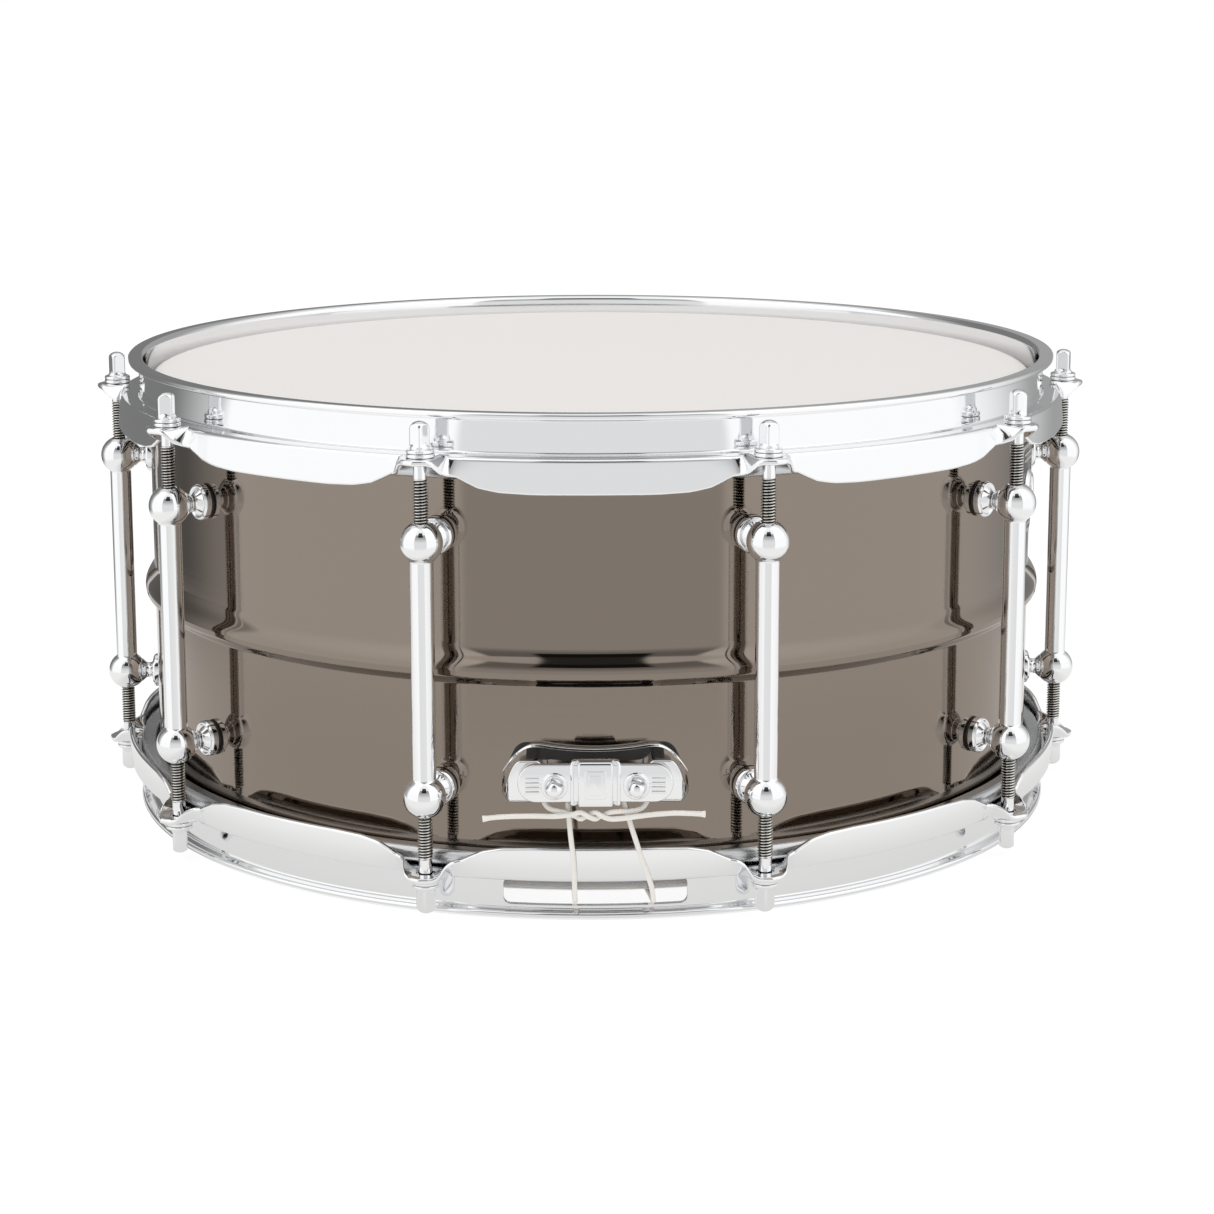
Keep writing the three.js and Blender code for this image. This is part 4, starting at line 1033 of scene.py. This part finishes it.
make("strainer_throw_lever", lever_shapes, [chrome_cast, dark_enamel], "lever", ["strainer_lever"])
pin_end = RAIL_OUT_X + 0.3
pin = [
    (0, -pin_end - 1.6), (3.4, -pin_end - 1.6, 0.7), (3.4, -pin_end, 0.2), (2, -pin_end, 0.1),
    (2, pin_end, 0.1), (2.6, pin_end, 0.1), (2.6, pin_end + 1.2, 0.4), (0, pin_end + 1.2),
]
make("lever_pin", [turned_along_x(fillet(pin, 4), 40)], [steel], "drum", ["lever_pivot_pin"])

slide_shapes = [
    block(-SLIDE_X, SLIDE_X, SLIDE_IN, 190.5, KNOB_HIGH + 0.6, 92, 0.7),
    slab(rounded_box(-7, 7, KNOB_HIGH + 0.6, 82, 1.4, 5), 189.8, NOSE_OUT, 0.8),
    slab(rounded_box(-9.3, 9.3, 84, 90, 1.5, 5), 190.3, 190.9, 0.25),
]
make("strainer_slide_block", slide_shapes, [chrome_cast], "slide", ["strainer_slide"])

carriage_low, carriage_top = heights("clamp_carriage")
carriage_shapes = [
    block(-SLIDE_X, SLIDE_X, SLIDE_IN, CLAMP_FACE, carriage_low, carriage_top, 0.6),
    slab(rounded_box(-17, 17, carriage_low, 55.6, 4, 8), SLIDE_IN, CLAMP_FACE, 0.6),
    slab(rounded_box(-7, 7, carriage_top - 2.4, carriage_top, 0.9, 4), CLAMP_FACE - 0.5, NOSE_OUT, 0.5),
]
make("strainer_carriage", carriage_shapes, [chrome_cast], "carriage", ["clamp_carriage"])
make("strainer_clamp_bar", clamp_bar(16.5, 9, None), [chrome_cast], "carriage", ["strainer_clamp_plate"])
for side in ("left", "right"):
    node = f"strainer_clamp_screw_{side}"
    make(f"strainer_key_screw_{side}", key_screw(middle(node)[0]), [chrome], "carriage", [node])


def knob():
    """A wheel with a diamond-knurled edge on a threaded spindle."""
    angles = circle(144)
    rows = []
    for z in np.linspace(0, 1, 25):
        height = KNOB_LOW + z * (KNOB_HIGH - KNOB_LOW)
        edge = min(z, 1 - z) * (KNOB_HIGH - KNOB_LOW)
        knurl = 0.22 * np.cos(24 * angles + 12 * z) * np.cos(24 * angles - 12 * z) * min(1, edge / 0.8)
        r = KNOB_R - 0.25 - 0.7 * max(0.0, 1 - edge / 0.7) ** 2 + knurl
        rows.append(round_z(r, angles, height))
    spindle = [(0, 61), (1.7, 61), (2.2, 61.5)]
    for z in np.arange(61.8, 80, 0.8):
        spindle += [(2.2, z), (1.9, z + 0.4)]
    spindle += [(0, 80)]
    return [loft(rows), lathe(spindle, 24), disc(4.6, KNOB_HIGH - 0.2, KNOB_HIGH + 0.25, 40, (0, 0.2))]


make(
    "fine_tune_knob", [moved(s, Matrix.Translation((0, KNOB_Y, 0))) for s in knob()], [chrome_cast],
    "knob", ["tension_knob"], sharp=50,
)


def inside_screw(node, towards):
    """A fixing screw whose round head and washer sit inside the shell; the head's cross is a thin dark
    plate, painted shade for its recess.
    """
    low, high = box_mm(node)
    x, z = (low[0] + high[0]) / 2, (low[2] + high[2]) / 2
    inner, outer = (low[1], high[1]) if towards > 0 else (-high[1], -low[1])
    flange = inner + 2.3
    head = [(0, inner), (2.4, inner, 1.5), (4.1, inner + 1.7, 0.8), (4.1, flange, 0.1), (0, flange)]
    washer = disc(4.2, inner + 2.35, inner + 3.3, 32, (0.2, 0.2))
    shank = disc(2.1, inner + 3, outer, 32)
    placed = [along_y(s, x * towards, z) for s in (lathe(fillet(head), 32), washer, shank)]
    # The cross is painted shade: a flat dark plate on the head that stands for the recess.
    for wide, tall in ((1.7, 0.3), (0.3, 1.7)):
        cross_shade = block(-wide, wide, inner - 0.05, inner + 0.02, -tall, tall, 0, 1)
        placed.append(moved(cross_shade, Matrix.Translation((x * towards, 0, z))))
    return [turned(s, 0 if towards > 0 else 180) for s in placed]


for place_on, towards, ends in (("butt", -1, ("left", "right")), ("strainer", 1, ("bottom", "top"))):
    for end in ends:
        node = f"{place_on}_mount_screw_{end}"
        make(f"{node}_inside", inside_screw(node, towards), [steel, rubber], "drum", [node])


# ---- floor, light and camera ----
def bare_material(name):
    material, shader, graph = principled(name, (0, 0, 0))
    graph.tree.nodes.remove(shader)
    return material, graph


def stage_piece(name, verts, faces, height, material):
    mesh = bpy.data.meshes.new(name)
    mesh.from_pydata(verts, [], faces)
    mesh.materials.append(material)
    obj = place(name, mesh, None)
    obj.location.z = height
    return obj


def studio_floor():
    material, graph = bare_material("floor_paper")
    glow = graph.node("Emission", {"Color": (1, 1, 1, 1), "Strength": 0.9})
    diffuse = graph.node("BsdfDiffuse", {"Color": (0.16, 0.16, 0.16, 1)})
    lit = graph.node("AddShader", {0: glow.outputs[0], 1: diffuse.outputs[0]})
    clear = graph.node("BsdfTransparent")
    graph.show_mix(graph.node("NewGeometry").outputs["Backfacing"], lit, clear)
    corners = [(-6, -6, 0), (6, -6, 0), (6, 6, 0), (-6, 6, 0)]
    stage_piece("floor", corners, [(0, 1, 2, 3)], -0.0004, material).visible_glossy = False


def near_floor():
    """What the chrome near the floor reflects: the paper close round the drum, shaded by it."""
    material, graph = bare_material("near_floor_glow")
    where = graph.node("NewGeometry").outputs["Position"]
    flat = graph.node("VectorMath", {0: where, 1: (1, 1, 0)}, operation="MULTIPLY").outputs[0]
    radius = graph.node("VectorMath", {0: flat}, operation="LENGTH").outputs["Value"]
    strength = graph.step(radius, 0.186, 0.26, 0.76, 0.94)
    glow = graph.node("Emission", {"Color": (1, 0.99, 0.975, 1), "Strength": strength})
    clear = graph.node("BsdfTransparent")
    inner, outer, steps = 0.1865, 0.62, 180
    graph.show_mix(graph.step(radius, 0.33, outer), glow, clear)
    verts = [(r * math.cos(t), r * math.sin(t), 0) for r in (inner, outer) for t in circle(steps)]
    faces = [(i, (i + 1) % steps, steps + (i + 1) % steps, steps + i) for i in range(steps)]
    obj = stage_piece("near_floor", verts, faces, -0.0002, material)
    obj.visible_camera = obj.visible_diffuse = obj.visible_shadow = obj.visible_transmission = False


def studio_world():
    """White cards all round, dimmer in front and behind, with a dark gap high in front."""
    world = bpy.data.worlds.new("studio")
    scene.world = world
    world.use_nodes = True
    tree = world.node_tree
    tree.nodes.clear()
    graph = Graph(tree)
    graph.node("OutputWorld")
    step, mix, times = graph.step, graph.mix, graph.times
    x, y, z = graph.axes("Generated")
    azimuth = graph.math("ARCTAN2", x, times(y, -1.0))
    azimuth = times(graph.math("ABSOLUTE", azimuth), 180 / math.pi)
    elevation = times(graph.math("ARCSINE", z), 180 / math.pi)
    panel = step(elevation, 4, 40, 0.8, 0.36)
    cards = step(elevation, 12, 60, 1.09, 1.3)
    side = mix(step(azimuth, 31, 34), panel, cards)
    left = step(azimuth, 104, 130, 0.6, 0.2)
    right = step(azimuth, 104, 150, 1.0, 0.36)
    back = mix(step(x, -0.05, 0.05), left, right)
    low = mix(step(azimuth, 99, 105), side, back)
    top = mix(step(azimuth, 32, 60), 0.98, 1.35)
    top = mix(step(azimuth, 90, 125), top, 0.8)
    high = mix(step(elevation, 70, 88), top, 1.05)
    behind_high = times(step(azimuth, 100, 130), step(elevation, 30, 64))
    raised = graph.math("MAXIMUM", step(elevation, 46.5, 49), behind_high)
    seen = mix(raised, low, high)
    gap = times(step(elevation, 35, 37), step(elevation, 60, 62, 1.0, 0.0))
    gap = times(gap, step(azimuth, 15, 18, 0.94, 0.0))
    seen = times(seen, graph.math("SUBTRACT", 1.0, gap))
    seen = mix(step(elevation, -40, -24, 1.0, 0.0), seen, 0.96)
    lit = graph.node("Background", {"Color": (1, 1, 1, 1), "Strength": seen})
    white = graph.node("Background", {"Color": (1, 1, 1, 1), "Strength": 1.0})
    graph.show_mix(graph.node("LightPath").outputs["Is Camera Ray"], lit, white)


def soft_light(name, at, size, power):
    light = bpy.data.lights.new(name, "AREA")
    light.shape = "SQUARE"
    light.size = size
    light.energy = power
    obj = bpy.data.objects.new(name, light)
    scene.collection.objects.link(obj)
    obj.location = at
    obj.rotation_euler = (Vector((0, 0, 0.09)) - Vector(at)).to_track_quat("-Z", "Y").to_euler()
    obj.visible_camera = False
    obj.visible_glossy = False


def camera():
    data = bpy.data.cameras.new("camera")
    data.sensor_width = 36
    data.lens = 79.98
    data.shift_y = -0.0881
    data.clip_start, data.clip_end = 0.05, 50
    obj = bpy.data.objects.new("camera", data)
    scene.collection.objects.link(obj)
    turn = Matrix.Rotation(math.radians(-0.673), 4, "Z")
    turn = turn @ Matrix.Rotation(math.radians(90 - 10.61), 4, "X")
    turn = turn @ Matrix.Rotation(math.radians(-0.0825), 4, "Z")
    obj.matrix_world = Matrix.Translation((-0.00641, -1.0899, 0.31975)) @ turn
    scene.camera = obj


studio_floor()
near_floor()
studio_world()
soft_light("key", (-1.3, -1.1, 1.9), 1.4, 4)
soft_light("overhead", (0, -0.2, 2.2), 2.4, 9)
camera()
scene.view_settings.view_transform = "Standard"
scene.view_settings.look = "None"
